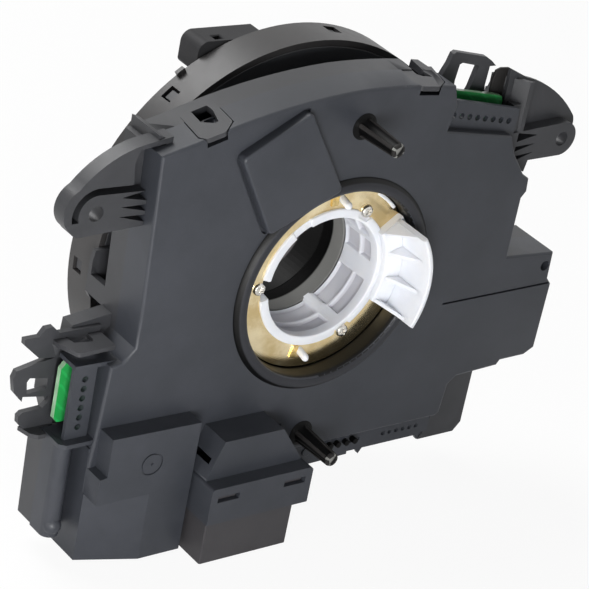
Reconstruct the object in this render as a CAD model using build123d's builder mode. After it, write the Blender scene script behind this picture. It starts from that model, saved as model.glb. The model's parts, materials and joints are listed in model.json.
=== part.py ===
"""Steering clock spring with the switch housing that carries it.

Millimetres.  The steering axis is Y, the column is on the -Y side and the steering wheel on the +Y side.
X runs to the right and Z runs up for someone who looks from the column.  The origin lies on the axis, at the
rear face of the white ring.  Depths below are counted from the flat face of the rear cover towards the wheel.
"""
from build123d import *
from math import cos, radians, sin
import os

os.makedirs("parts", exist_ok=True)

# Depths of the case, from the cover face towards the steering wheel
ring_depth = 3.8
cover_depth = 11.0
case_depth = 18.5
wall = 2.0
face_wall = 2.2
edge_round = 1.0
lip_height = 1.2
lip_wall = 1.2
fit_gap = 0.15
free_gap = 0.3
cover_y = -ring_depth

# Round opening with its collar and the pad beside it
opening_radius = 30.2
collar_wall = 2.7
collar_rise = 1.5
collar_depth = 4.6
pad_rise = 2.5
pad_groove = 1.0

# White ring with the shield
bore_radius = 19.3
rim_wall = 2.9
ring_radius = bore_radius + rim_wall
sleeve_radius = ring_radius - 0.6
sleeve_end = 20.0
bore_length = 8.2
sleeve_bore = bore_radius - 1.0
shield_inner = 27.0
shield_wall = 1.5
shield_tip = -10.9
shield_start = -28.0
shield_end = 36.0
flange_rise = 1.8
gusset_wall = 1.0

# Polished disc and its screws
disc_gap = 0.6
disc_radius = opening_radius - disc_gap
disc_thickness = 0.8
disc_depth = ring_depth + 0.7
screw_circle = ring_radius + 0.5
screw_head = 2.2
screw_shank = 0.8
screw_angles = [60, 180, 300]

# Hub of the rotor and the cassette that holds the ribbon
hub_wall = 2.4
hub_radius = sleeve_radius + hub_wall
hub_bore = sleeve_bore + 0.6
hub_flange = disc_radius - 0.3
hub_flange_thickness = 2.2
journal_gap = 0.05
cassette_depth = 27.7
cassette_radius = 64.0
neck_inset = 10.0
neck_radius = cassette_radius - neck_inset
neck_wall = 2.0
cassette_height = 12.3
cassette_floor = 1.5
cassette_wall = 1.7
ring_wall = 1.9
lid_thickness = 2.0
ribbon_thickness = 0.35
ribbon_turns = 5
ribbon_margin = 4.95
slide_thickness = 0.5

# Circuit board
board_depth = 8.0
board_thickness = 1.6

# Guide pins
pin_height = 50.4
pin_tip = -16.0
pin_radius = 2.4
pin_hole = 3.3

# Ears
ear_x = 83.2
ear_z = 33.3
ear_hole = 2.3
ear_depth = 4.5
ear_height = 5.0
ear_boss = 5.5

# Plugs
left_plug_face = -6.4
left_plug_bottom = -76.8
hood_face = -10.5
middle_plug_face = -15.3
middle_plug_bottom = -63.7
shell_bottom = -77.5
plug_wall = 2.0

# Post and shelf beside the left plug block
post_x = -81.3
post_radius = 3.0
post_nose = 3.0
post_foot = -69.5
shelf_z = -38.0
shelf_wall = 1.3


def rear_plane(depth):
    """Plane that faces the column at a depth from the cover face: its x is X and its y is Z."""
    return Plane.XZ.offset(-(depth + cover_y))


def level_plane(height):
    """Level plane at a height: its x is X and its y is the depth from the cover face."""
    return Plane(origin=(0, cover_y, height), x_dir=(1, 0, 0), z_dir=(0, 0, 1))


def side_plane(x):
    """Upright plane at an X: its x is the depth from the cover face and its y is Z."""
    return Plane(origin=(x, cover_y, 0), x_dir=(0, 1, 0), z_dir=(1, 0, 0))


def case_outline(grow=0.0):
    """Outer edge that both halves of the case share."""
    with BuildSketch(Plane.XY) as outline:
        with BuildLine():
            Polyline((-66.0, 0.0), (-67.9, 50.2), (-57.2, 52.7), (-43.8, 56.3))
            ThreePointArc((-43.8, 56.3), (-22.5, 60.2), (-1.9, 61.8))
            ThreePointArc((-1.9, 61.8), (15.6, 61.0), (31.7, 58.9))
            Polyline((31.7, 58.9), (33.8, 52.6), (32.2, 44.5), (58.1, 39.6), (60.9, 33.5), (66.5, 25.8), (69.2, 24.0))
            Polyline((69.2, 24.0), (69.6, 19.7), (68.0, 17.6), (68.0, -2.5), (87.4, -4.0), (87.7, -13.2), (89.6, -15.4))
            Polyline((89.6, -15.4), (89.2, -38.2), (85.4, -40.3), (75.7, -40.4), (74.6, -42.0))
            Polyline((74.6, -42.0), (58.4, -42.7), (55.8, -45.0), (54.8, -54.9), (53.4, -56.0))
            Polyline((53.4, -56.0), (-6.0, -56.0), (-6.0, middle_plug_bottom), (-43.3, middle_plug_bottom))
            Polyline((-43.3, middle_plug_bottom), (-43.3, left_plug_bottom), (-75.5, left_plug_bottom))
            Polyline((-75.5, left_plug_bottom), (-75.5, -46.0), (-74.2, -30.0), (-73.2, -13.6))
            Polyline((-73.2, -13.6), (-69.4, -13.0), (-66.0, -9.0), (-66.0, 0.0))
        make_face()
        if grow:
            offset(amount=grow, kind=Kind.INTERSECTION)
    return outline.sketch


def pad_outline(grow=0.0):
    """Four-sided raised pad beside the opening."""
    with BuildSketch(Plane.XY) as pad:
        Polygon((-42.6, 46.9), (-21.2, 58.3), (-4.9, 32.2), (-28.4, 21.4), align=None)
        fillet(pad.vertices(), radius=1.5)
        if grow:
            offset(amount=grow)
    return pad.sketch


def ring_sector(inner, outer, start, end):
    """Part of a flat ring between two angles."""
    with BuildSketch(Plane.XY) as sector:
        with BuildLine():
            CenterArc((0, 0), inner, start, end - start)
            CenterArc((0, 0), outer, start, end - start)
            for angle in (start, end):
                ray = (cos(radians(angle)), sin(radians(angle)))
                Line((inner * ray[0], inner * ray[1]), (outer * ray[0], outer * ray[1]))
        make_face()
    return sector.sketch


def tilted_bar(x, z, length, width, tilt):
    """Rectangle round a point, turned by a tilt."""
    with BuildSketch(Plane.XY) as bar:
        with Locations(Location((x, z, 0), tilt)):
            Rectangle(length, width)
    return bar.sketch


# Snap straps on the top wall: middle, tilt, front end of the slot, then outline and slot on the wall
strap_thickness = 1.5
strap_hollow = 2.6
left_strap = (-50.6, 54.5, 15.0)
left_strap_outline = [(-3.4, 13.6), (-5.0, 2.2), (-3.6, 0.2), (2.2, 0.0), (6.6, 3.2), (7.8, 13.6)]
left_strap_slot = [(0.3, 14.2), (-0.5, 8.2), (2.2, 5.4), (3.6, 5.6), (5.4, 11.0), (5.4, 14.2)]
right_strap = (22.5, 59.9, -6.5)
right_strap_outline = [(-2.6, 13.6), (-5.0, 3.2), (-4.1, 0.2), (2.6, 0.0), (6.6, 3.0), (10.4, 13.6)]
right_strap_slot = [(2.0, 19.0), (0.4, 8.4), (1.6, 7.2), (5.0, 6.6), (4.6, 10.0), (6.6, 19.0)]
strap_parts = [(left_strap, left_strap_outline, left_strap_slot), (right_strap, right_strap_outline, right_strap_slot)]


def strap_plane(strap, lift):
    """Plane of the top wall at a strap: its x runs along the wall and its y is the depth."""
    x, z, tilt = strap
    along = (cos(radians(tilt)), 0, sin(radians(tilt)))
    normal = (-sin(radians(tilt)), 0, cos(radians(tilt)))
    return Plane(origin=(x + lift * normal[0], cover_y, z + lift * normal[2]), x_dir=along, z_dir=normal)


def across_plane(strap, shift):
    """Plane across the top wall at a strap: its x is the depth and its y is the height over the wall."""
    x, z, tilt = strap
    along = (cos(radians(tilt)), 0, sin(radians(tilt)))
    return Plane(origin=(x + shift * along[0], cover_y, z + shift * along[2]), x_dir=(0, 1, 0), z_dir=along)


# Places of the screws that hold the two halves together
case_screw_places = [(-59.0, 44.0), (-59.5, -3.0), (60.0, 14.0), (46.0, -48.0)]
boss_radius = 3.0
case_screw_radius = 1.2
case_head = 2.8

# Perforated contact plates of the three sockets
right_holes = [(35.7 + 3.18 * step, 47.9 - 0.66 * step) for step in range(8)]
left_holes = [(-79.1, -17.8 - 3.07 * step) for step in range(6)]
bottom_holes = [(16.5 + 2.4 * step, -60.2) for step in range(5)] + [(36.0 + 2.6 * step, -60.2) for step in range(6)]
plate_depth = 3.0
plate_thickness = 1.4


# Rear cover
with BuildPart() as rear_cover:
    with BuildSketch(rear_plane(cover_depth)):
        add(case_outline())
    extrude(amount=cover_depth)
    with BuildSketch(rear_plane(cover_depth)):
        add(case_outline(-wall))
    extrude(amount=cover_depth - face_wall, mode=Mode.SUBTRACT)
    rear_edges = rear_cover.faces().sort_by(Axis.Y)[0].outer_wire().edges()
    fillet(rear_edges, radius=edge_round)

    # Bosses for the case screws
    with BuildSketch(rear_plane(case_depth - wall)):
        with Locations(*case_screw_places):
            Circle(boss_radius)
    extrude(amount=case_depth - wall - face_wall / 2)
    with BuildSketch(rear_plane(case_depth - wall)):
        with Locations(*case_screw_places):
            Circle(case_screw_radius)
    extrude(amount=case_depth - wall - face_wall - 2, mode=Mode.SUBTRACT)

    # Raised pad with the groove along its outer sides
    with BuildSketch(rear_plane(pad_groove)):
        add(pad_outline(pad_groove))
        add(pad_outline(), mode=Mode.SUBTRACT)
        Polygon((-20.5, 58.0), (-28.0, 20.0), (8.0, 20.0), (8.0, 66.0), (-20.5, 66.0), align=None, mode=Mode.SUBTRACT)
    extrude(amount=2 * pad_groove, mode=Mode.SUBTRACT)
    with BuildSketch(rear_plane(0)):
        add(pad_outline())
    extrude(amount=pad_rise)
    pad_edges = rear_cover.faces().sort_by(Axis.Y)[0].edges()
    fillet(pad_edges, radius=0.8)

    # Collar round the opening
    with BuildSketch(level_plane(0)) as collar_section:
        with BuildLine():
            Polyline(
                (opening_radius, collar_depth),
                (opening_radius, -collar_rise),
                (opening_radius + collar_wall, -collar_rise),
                (opening_radius + collar_wall, face_wall),
                (opening_radius + 1.4, face_wall),
                (opening_radius + 1.4, collar_depth),
                close=True,
            )
        make_face()
        fillet(collar_section.vertices().group_by(Axis.Y)[0], radius=0.7)
    revolve(axis=Axis.Y)
    with BuildSketch(rear_plane(cover_depth)):
        Circle(opening_radius)
    extrude(amount=cover_depth + 6, mode=Mode.SUBTRACT)

    # Left plug block with its sloping side
    with BuildSketch(rear_plane(cover_depth)):
        Polygon((-75.5, -40), (-43.3, -40), (-43.3, left_plug_bottom), (-75.5, left_plug_bottom), align=None)
    extrude(amount=cover_depth - 1)
    with BuildSketch(rear_plane(1)):
        Polygon((-73.3, -33.2), (-43.3, -33.8), (-43.3, -54.5), (-75.4, -54.5), (-75.4, -46), (-73, -45.6), align=None)
    extrude(amount=1 - left_plug_face)
    with BuildSketch(level_plane(left_plug_bottom)):
        Polygon((-43.3, 1), (-43.3, left_plug_face), (-57.5, left_plug_face), (-75.5, 0), (-75.5, 1), align=None)
    extrude(amount=-54.4 - left_plug_bottom)
    with BuildSketch(rear_plane(left_plug_face)):
        with Locations((-58.4, -44.3)):
            Circle(3.7)
            Circle(3.1, mode=Mode.SUBTRACT)
            Circle(0.5)
    extrude(amount=-0.4, mode=Mode.SUBTRACT)
    with BuildSketch(level_plane(left_plug_bottom)) as left_cavity:
        Polygon(
            (-45.3, 8.8),
            (-45.3, left_plug_face + plug_wall),
            (-58.2, left_plug_face + plug_wall),
            (-72.2, 0.6),
            (-73.0, 8.8),
            align=None,
        )
        fillet(left_cavity.vertices(), radius=0.8)
    extrude(amount=33, mode=Mode.SUBTRACT)

    # Post, shelf and top wall of the left socket
    with BuildSketch(level_plane(post_foot)):
        with BuildLine():
            Polyline((post_x, cover_depth), (post_x - post_radius, cover_depth), (post_x - post_radius, post_nose + post_radius))
            ThreePointArc((post_x - post_radius, post_nose + post_radius), (post_x, post_nose),
                          (post_x + post_radius, post_nose + post_radius))
            Polyline((post_x + post_radius, post_nose + post_radius), (post_x + post_radius, 9.0), (-74.0, 9.0),
                     (-74.0, cover_depth), (post_x, cover_depth))
        make_face()
    extrude(amount=shelf_z - post_foot)
    with Locations((post_x, cover_y + post_nose + 1.7, post_foot + 3.2)):
        Sphere(post_radius - 0.2)
    with BuildSketch(level_plane(shelf_z)) as shelf:
        Polygon((-85.6, cover_depth), (-85.6, 1.8), (-83.8, 0.2), (-75.7, 0.2), (-72.6, 1.8), (-72.6, cover_depth), align=None)
        fillet(shelf.vertices().group_by(Axis.Y)[0], radius=0.8)
    extrude(amount=shelf_wall)
    with BuildSketch(level_plane(-14.3)):
        Polygon((-83.0, cover_depth), (-83.0, 2.8), (-69.0, 2.4), (-66.0, 6.0), (-66.0, cover_depth), align=None)
    extrude(amount=shelf_wall)
    with BuildSketch(rear_plane(7.6)):
        Polygon((-76.6, -14.0), (-72.0, -14.0), (-72.0, shelf_z + 0.6), (-76.6, shelf_z + 0.6), align=None)
    extrude(amount=1.4)

    # Hood and upper tier of the middle plug
    with BuildSketch(rear_plane(9)):
        Polygon((-36.7, -39.4), (-16.0, -39.4), (-7.6, -50.9), (-7.6, -53), (-41.2, -53), (-41.2, -50.9), align=None)
    extrude(amount=9 - hood_face)
    with BuildSketch(rear_plane(9)) as tier:
        Polygon((-42, -51.6), (-6, -51.6), (-6, middle_plug_bottom), (-42, middle_plug_bottom), align=None)
        fillet(tier.vertices().group_by(Axis.Y)[-1], radius=1.2)
    extrude(amount=9 - middle_plug_face)
    with BuildSketch(rear_plane(6.5)):
        Polygon((-39.8, -45.5), (-8.2, -45.5), (-8.2, middle_plug_bottom), (-39.8, middle_plug_bottom), align=None)
    extrude(amount=6.5 - hood_face - plug_wall, mode=Mode.SUBTRACT)
    with BuildSketch(rear_plane(6.5)):
        Polygon((-39.8, -53.6), (-8.2, -53.6), (-8.2, middle_plug_bottom), (-39.8, middle_plug_bottom), align=None)
    extrude(amount=6.5 - middle_plug_face - plug_wall, mode=Mode.SUBTRACT)
    with BuildSketch(rear_plane(middle_plug_face + plug_wall)):
        with Locations((-35.8, -55.4), (-12.2, -55.4)):
            Rectangle(7.6, 2.0)
    extrude(amount=plug_wall, mode=Mode.SUBTRACT)

    # Perforated contact plates
    with BuildSketch(rear_plane(plate_depth + plate_thickness)):
        Polygon((33.6, 53.2), (32.0, 44.2), (61.0, 38.3), (61.4, 46.8), align=None)
        with Locations(*right_holes):
            Circle(0.95, mode=Mode.SUBTRACT)
        Polygon((-83.0, -13.3), (-75.6, -13.6), (-75.6, -37.3), (-83.1, -37.3), align=None)
        with Locations(*left_holes):
            Circle(1.0, mode=Mode.SUBTRACT)
        Polygon((15.0, -55.2), (54.0, -55.2), (54.0, -63.2), (51.6, -63.2), (50.6, -65.6), (49.2, -63.8), (28.6, -63.8),
                (27.4, -65.6), (26.2, -63.8), (15.0, -63.8), align=None)
        with Locations(*bottom_holes):
            Circle(0.75, mode=Mode.SUBTRACT)
    extrude(amount=plate_thickness)

    # Openings for the guide pins, the board tongues and the snap straps, with the teeth of the straps
    with BuildSketch(rear_plane(cover_depth)):
        with Locations((0, pin_height), (0, -pin_height)):
            Circle(pin_hole)
    extrude(amount=cover_depth + 1, mode=Mode.SUBTRACT)
    with BuildSketch(rear_plane(cover_depth)):
        Polygon((-80, -13.8), (-70, -13.8), (-70, -34.6), (-80, -34.6), align=None)
        Polygon((38.6, 56), (37.0, 40), (56.6, 36.0), (58.4, 50), align=None)
    extrude(amount=cover_depth - board_depth + free_gap, mode=Mode.SUBTRACT)
    for strap, outline, slot in strap_parts:
        with BuildSketch(strap_plane(strap, 2.0)) as recess:
            Polygon(*outline, align=None)
            offset(amount=free_gap, kind=Kind.INTERSECTION)
        extrude(amount=-2.0 - strap_hollow, mode=Mode.SUBTRACT)
        with BuildSketch(strap_plane(strap, -strap_hollow - 1.6)):
            Polygon((-8.0, 1.0), (10.5, 1.0), (10.5, 10.6), (-8.0, 10.6), align=None)
        extrude(amount=1.6)
        with BuildSketch(across_plane(strap, 2.5)):
            Polygon((8.6, -strap_hollow - 0.4), (8.6, -0.2), (10.6, -strap_hollow), (10.4, -strap_hollow - 0.4), align=None)
        extrude(amount=1.4, both=True)
    # Dimple and cross groove of the right block
    with BuildSketch(rear_plane(0.8)):
        with Locations((66.9, -14.7)):
            Rectangle(42.9, 0.7)
    extrude(amount=1.2, mode=Mode.SUBTRACT)
    with BuildSketch(rear_plane(face_wall + 1)):
        with Locations((84.8, -8.2)):
            Circle(1.7)
    extrude(amount=face_wall + 2, mode=Mode.SUBTRACT)
rear_cover.part.label = "rear_cover"
export_step(rear_cover.part, "parts/rear_cover.step")


def left_ear_outline():
    """Outer edge of the left ear."""
    with BuildSketch(Plane.XY) as ear:
        with BuildLine():
            Line((-62.0, 53.4), (-69.5, 52.3))
            ThreePointArc((-69.5, 52.3), (-80.8, 48.5), (-89.6, 41.1))
            ThreePointArc((-89.6, 41.1), (-93.5, 34.0), (-90.7, 28.7))
            ThreePointArc((-90.7, 28.7), (-89.2, 27.3), (-87.2, 26.8))
            Polyline((-87.2, 26.8), (-62.0, 27.6), (-62.0, 53.4))
        make_face()
    return ear.sketch


def right_ear_outline():
    """Outer edge of the right ear."""
    with BuildSketch(Plane.XY) as ear:
        with BuildLine():
            Line((59.5, 57.4), (66.5, 53.9))
            ThreePointArc((66.5, 53.9), (80.2, 47.4), (89.6, 38.6))
            ThreePointArc((89.6, 38.6), (90.3, 35.0), (88.4, 31.5))
            Polyline((88.4, 31.5), (80.0, 28.8), (60.0, 28.6), (59.5, 57.4))
        make_face()
    return ear.sketch


def boss_outline(side, grow=0.0):
    """Plate round the screw hole of an ear, on the left with side -1 and on the right with side 1."""
    inner = side * 61.0
    with BuildSketch(Plane.XY) as boss:
        with Locations((side * ear_x, ear_z)):
            Circle(ear_boss)
        Polygon((side * ear_x, ear_z + ear_boss), (inner, ear_z + ear_boss - 1.0), (inner, ear_z - ear_boss),
                (side * ear_x, ear_z - ear_boss), align=None)
        if grow:
            offset(amount=grow)
    return boss.sketch


# Front housing
ear_floor = ear_depth + 3.8
latch_depth = 13.8
latch_wall = 1.8
web_depth = cassette_depth - free_gap
with BuildPart() as front_housing:
    with BuildSketch(rear_plane(case_depth)):
        add(case_outline())
    extrude(amount=case_depth - cover_depth)
    with BuildSketch(rear_plane(case_depth - wall)):
        add(case_outline(-wall))
    extrude(amount=case_depth - wall - cover_depth, mode=Mode.SUBTRACT)

    # Left ear with the groove round its boss
    with BuildSketch(rear_plane(ear_depth + ear_height)):
        add(left_ear_outline())
    extrude(amount=ear_height)
    with BuildSketch(rear_plane(ear_floor)):
        add(boss_outline(-1, 2.1))
        add(boss_outline(-1), mode=Mode.SUBTRACT)
        Polygon((-95.0, ear_z - 2.0), (-60.0, ear_z - 2.0), (-60.0, 20.0), (-95.0, 20.0), align=None, mode=Mode.SUBTRACT)
        Polygon((-72.2, 39.0), (-73.2, 46.5), (-72.0, 50.6), (-64.0, 51.6), (-64.0, 38.6), align=None)
    extrude(amount=ear_height, mode=Mode.SUBTRACT)

    # Right ear: sunk floor, boss and slanted wall
    with BuildSketch(rear_plane(ear_depth + ear_height)):
        add(right_ear_outline())
    extrude(amount=ear_depth + ear_height - ear_floor)
    with BuildSketch(rear_plane(ear_floor + 0.2)):
        add(boss_outline(1))
    extrude(amount=ear_floor + 0.2 - ear_depth)
    with BuildSketch(level_plane(ear_z + 4.0)):
        Polygon((66.4, ear_depth), (64.8, ear_depth), (57.4, latch_depth), (59.2, latch_depth), align=None)
    extrude(amount=16.8)
    with BuildSketch(rear_plane(case_depth)):
        Polygon((-66.4, 54.0), (-64.0, 53.0), (-64.0, 27.4), (-66.4, 27.4), align=None)
        Polygon((60.8, 47.0), (60.4, 38.0), (62.0, 28.6), (71.0, 23.6), (72.0, 28.6), (64.4, 38.0), (63.4, 47.0), align=None)
    extrude(amount=case_depth - ear_depth - 0.6)

    # Pockets between the ribs of the ears and the screw holes
    with BuildSketch(rear_plane(ear_floor - 0.3)):
        for apex, top, bottom in ((36.9, 38.4, 34.9), (34.1, 33.9, 31.7), (31.2, 30.7, 28.4)):
            Polygon((-75.6, apex), (-66.6, top), (-66.6, bottom), align=None)
            Polygon((72.6, apex - 0.8), (64.8, top - 0.8), (64.8, bottom - 0.2), align=None)
        with Locations((-ear_x, ear_z), (ear_x, ear_z)):
            Circle(ear_hole)
    extrude(amount=ear_height, mode=Mode.SUBTRACT)
    with BuildSketch(rear_plane(ear_depth + ear_height)):
        with Locations((-ear_x, ear_z), (ear_x, ear_z)):
            Circle(ear_hole)
    extrude(amount=2 * ear_height, mode=Mode.SUBTRACT)

    # Latch frame of the right socket
    with BuildSketch(rear_plane(latch_depth)):
        Polygon((33.0, 50.0), (38.0, 59.7), (39.0, 62.8), (40.1, 63.3), (52.3, 60.4), (54.6, 58.9), (56.7, 57.1),
                (54.3, 57.2), (54.0, 51.1), (54.8, 47.0), (56.6, 48.9), (58.0, 53.0), (59.8, 54.0), (59.8, 38.0),
                (33.0, 42.6), align=None)
        Polygon((41.7, 54.2), (42.3, 59.1), (43.3, 59.5), (49.9, 57.8), (48.3, 50.9), (47.0, 48.0), (42.0, 48.0),
                align=None, mode=Mode.SUBTRACT)
    extrude(amount=latch_wall)

    # Guides, strap and latch frame of the left socket
    with BuildSketch(rear_plane(case_depth)):
        Polygon((-66.0, -5.0), (-78.6, -6.6), (-79.0, -13.0), (-84.6, -14.0), (-84.6, -28.0), (-81.0, shelf_z),
                (-72.0, shelf_z), (-66.0, -30.0), align=None)
    extrude(amount=case_depth - latch_depth + 0.4)
    with BuildSketch(rear_plane(latch_depth)):
        Polygon((-83.0, -15.0), (-88.4, -15.6), (-95.7, -17.2), (-96.5, -19.4), (-95.6, -24.0), (-92.6, -27.5),
                (-92.5, -26.0), (-85.0, -27.3), (-83.0, -27.4), align=None)
        Polygon((-91.8, -21.4), (-91.0, -20.3), (-85.0, -21.4), (-85.0, -24.8), (-91.3, -25.3), align=None,
                mode=Mode.SUBTRACT)
        Polygon((-70.0, -7.3), (-83.4, -7.3), (-85.7, -5.0), (-88.2, -5.1), (-89.8, -7.4), (-94.5, -7.4), (-94.4, -9.2),
                (-89.1, -14.2), (-80.0, -15.6), (-70.0, -13.0), align=None)
        Polygon((-83.0, -27.3), (-84.0, -29.6), (-85.5, -31.0), (-91.9, -31.3), (-93.0, -32.3), (-92.8, -34.6),
                (-89.8, shelf_z), (-81.0, shelf_z), align=None)
    extrude(amount=latch_wall)
    with BuildSketch(level_plane(shelf_z)):
        Polygon((-83.0, latch_depth), (-91.4, latch_depth), (-90.2, 9.2), (-88.4, 7.6), (-86.0, 7.6), (-86.0, cover_depth + 0.2),
                (-83.0, cover_depth + 0.2), align=None)
    extrude(amount=shelf_wall)
    with BuildSketch(level_plane(-10.3)) as side_strap:
        Polygon((-70.2, 12.6), (-70.2, 3.6), (-82.4, 3.0), (-85.3, 10.0), (-85.3, 12.6), align=None)
        fillet(side_strap.vertices().group_by(Axis.Y)[0], radius=1.2)
        Polygon((-81.5, 12.8), (-80.6, 8.6), (-75.2, 7.6), (-74.4, 9.0), (-74.4, 12.8), align=None, mode=Mode.SUBTRACT)
    extrude(amount=1.3)
    with BuildSketch(rear_plane(case_depth)):
        Polygon((post_x - post_radius, -40.0), (-74.0, -40.0), (-74.0, post_foot), (post_x - post_radius + 0.6, post_foot),
                align=None)
    extrude(amount=case_depth - cover_depth)

    # Web and flange in the gap at the left
    with BuildSketch(side_plane(-66.0)):
        Polygon((case_depth - wall, -5.4), (case_depth - wall, 0.8), (web_depth, 0.6), (web_depth, -5.2), align=None)
    extrude(amount=2.0)
    with BuildSketch(rear_plane(web_depth)):
        Polygon((-66.0, -5.2), (-66.0, 5.0), (-65.4, 8.0), (-50.0, 8.0), (-50.0, -7.0), (-65.0, -7.0), align=None)
        Circle(neck_radius - neck_wall / 2, mode=Mode.SUBTRACT)
    extrude(amount=1.5)

    # Deep box at the lower right
    with BuildSketch(rear_plane(case_depth)) as lower_box:
        Polygon((52.0, -57.0), (52.0, -66.5), (66.3, -66.5), (68.8, -63.5), (68.8, -40.5), (57.0, -41.0), align=None)
    extrude(amount=case_depth - 4.0)

    # Clearance round the cover
    with BuildSketch(rear_plane(cover_depth)):
        add(case_outline(fit_gap))
    extrude(amount=cover_depth + 3, mode=Mode.SUBTRACT)
    with BuildSketch(rear_plane(plate_depth + plate_thickness + fit_gap)):
        Polygon((13.0, -54), (56.0, -54), (54.4, -63.2), (51.6, -66.6), (13.0, -66.6), align=None)
    extrude(amount=8, mode=Mode.SUBTRACT)

    # Lip that centres the cover
    with BuildSketch(rear_plane(cover_depth + 1)):
        add(case_outline(-wall - fit_gap))
        add(case_outline(-wall - fit_gap - lip_wall), mode=Mode.SUBTRACT)
    extrude(amount=1 + lip_height)
    with BuildSketch(rear_plane(cover_depth)):
        Polygon((-76, -40), (-4, -40), (-4, -78), (-76, -78), align=None)
        Polygon((-80, -12.0), (-64, -12.0), (-64, shelf_z - 2), (-80, shelf_z - 2), align=None)
        Polygon((37.6, 58), (34.0, 38), (58.6, 34.0), (60.4, 50), align=None)
        for strap, outline, slot in strap_parts:
            x, z, tilt = strap
            add(tilted_bar(x + 2, z, 22.0, 12.0, tilt))
    extrude(amount=2 * lip_height, mode=Mode.SUBTRACT)

    # Snap straps with their slots
    for strap, outline, slot in strap_parts:
        with BuildSketch(strap_plane(strap, 0.1)) as band:
            Polygon(*outline, align=None)
            fillet(band.vertices().sort_by(Axis.Y)[0:4], radius=1.8)
        extrude(amount=-strap_thickness)
        with BuildSketch(strap_plane(strap, 1.0)):
            Polygon(*slot, align=None)
        extrude(amount=-1.0 - strap_hollow, mode=Mode.SUBTRACT)

    # Opening for the hub and the neck that carries the cassette
    with BuildSketch(rear_plane(cassette_depth)):
        Circle(neck_radius)
    extrude(amount=cassette_depth - case_depth + wall)
    with BuildSketch(rear_plane(cassette_depth)):
        Circle(neck_radius - neck_wall)
    extrude(amount=cassette_depth - case_depth, mode=Mode.SUBTRACT)
    with BuildSketch(rear_plane(cassette_depth)):
        with PolarLocations(neck_radius - 4.0, 4, start_angle=45):
            Circle(boss_radius)
    extrude(amount=cassette_depth - case_depth + wall / 2)
    with BuildSketch(rear_plane(cassette_depth)):
        with PolarLocations(neck_radius - 4.0, 4, start_angle=45):
            Circle(case_screw_radius)
    extrude(amount=8.0, mode=Mode.SUBTRACT)
    with BuildSketch(rear_plane(cassette_depth)):
        with Locations(*case_screw_places):
            Circle(case_head + free_gap)
    extrude(amount=cassette_depth - case_depth, mode=Mode.SUBTRACT)
    with BuildSketch(rear_plane(cassette_depth)):
        Circle(hub_radius + 3.5)
    extrude(amount=cassette_depth, mode=Mode.SUBTRACT)

    # Posts under the board, holes for the case screws and seats of the guide pins
    with BuildSketch(rear_plane(case_depth - wall / 2)):
        with Locations((-38.0, 38.0), (40.0, 34.0), (40.0, -30.0), (-38.0, -30.0)):
            Circle(2.6)
    extrude(amount=case_depth - wall / 2 - board_depth - board_thickness)
    with BuildSketch(rear_plane(case_depth - wall / 2)):
        with Locations((0, pin_height), (0, -pin_height)):
            Circle(pin_hole + 1.4)
    extrude(amount=case_depth - wall / 2 - cover_depth - 1)
    with BuildSketch(rear_plane(case_depth - wall)):
        with Locations((0, pin_height), (0, -pin_height)):
            Circle(pin_radius + 0.6)
    extrude(amount=case_depth, mode=Mode.SUBTRACT)
    with BuildSketch(rear_plane(case_depth)):
        with Locations(*case_screw_places):
            Circle(case_screw_radius + 0.1)
    extrude(amount=2 * wall, mode=Mode.SUBTRACT)
front_housing.part.label = "front_housing"
export_step(front_housing.part, "parts/front_housing.step")


# Circuit board with its two tongues
with BuildPart() as circuit_board:
    with BuildSketch(rear_plane(board_depth + board_thickness)):
        with BuildLine():
            Polyline((-62.6, 46.0), (-44.0, 51.0), (-6.0, 45.0), (6.0, 45.0), (27.0, 53.5), (29.4, 47.0), (29.6, 42.4),
                     (38.6, 41.0), (39.3, 53.1), (55.7, 49.6), (57.8, 49.0), (58.6, 47.4),
                     (56.0, 36.8), (57.6, 31.6), (63.0, 24.0), (63.5, 10.0), (63.5, -36.0), (52.0, -40.0))
            Polyline((52.0, -40.0), (50.0, -51.5), (6.0, -51.5), (6.0, -45.0), (-5.0, -45.0), (-5.0, -38.8), (-62.0, -38.4),
                     (-71.0, -38.0), (-71.0, -33.8), (-82.8, -33.8), (-84.0, -32.4), (-84.0, -16.6), (-82.6, -14.8), (-65.4, -14.8))
            Polyline((-65.4, -14.8), (-61.5, -13.4), (-62.6, 46.0))
        make_face()
        Circle(opening_radius + 3.6, mode=Mode.SUBTRACT)
        with Locations(*case_screw_places):
            Circle(boss_radius + free_gap, mode=Mode.SUBTRACT)
        with Locations((0, pin_height), (0, -pin_height)):
            Circle(pin_hole + 2.0, mode=Mode.SUBTRACT)
        with Locations(*left_holes):
            Circle(0.5, mode=Mode.SUBTRACT)
    extrude(amount=board_thickness)
circuit_board.part.label = "circuit_board"
export_step(circuit_board.part, "parts/circuit_board.step")


# Parts on the board
front_of_board = board_depth + board_thickness
with BuildPart() as board_processor:
    with BuildSketch(rear_plane(front_of_board + 1.6)):
        with Locations((48.5, -8.0)):
            Rectangle(14, 14)
    extrude(amount=1.6)
    chamfer(board_processor.edges().filter_by(Axis.Y), length=0.8)
board_processor.part.label = "board_processor"
export_step(board_processor.part, "parts/board_processor.step")

with BuildPart() as board_capacitors:
    with BuildSketch(rear_plane(front_of_board + 5.4)):
        with Locations((-50.0, 30.0), (-50.0, 20.5), (-50.0, 11.0), (50.0, 22.0)):
            Circle(3.1)
    extrude(amount=5.4)
    fillet(board_capacitors.faces().group_by(Axis.Y)[-1].edges(), radius=0.5)
board_capacitors.part.label = "board_capacitors"
export_step(board_capacitors.part, "parts/board_capacitors.step")


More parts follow.
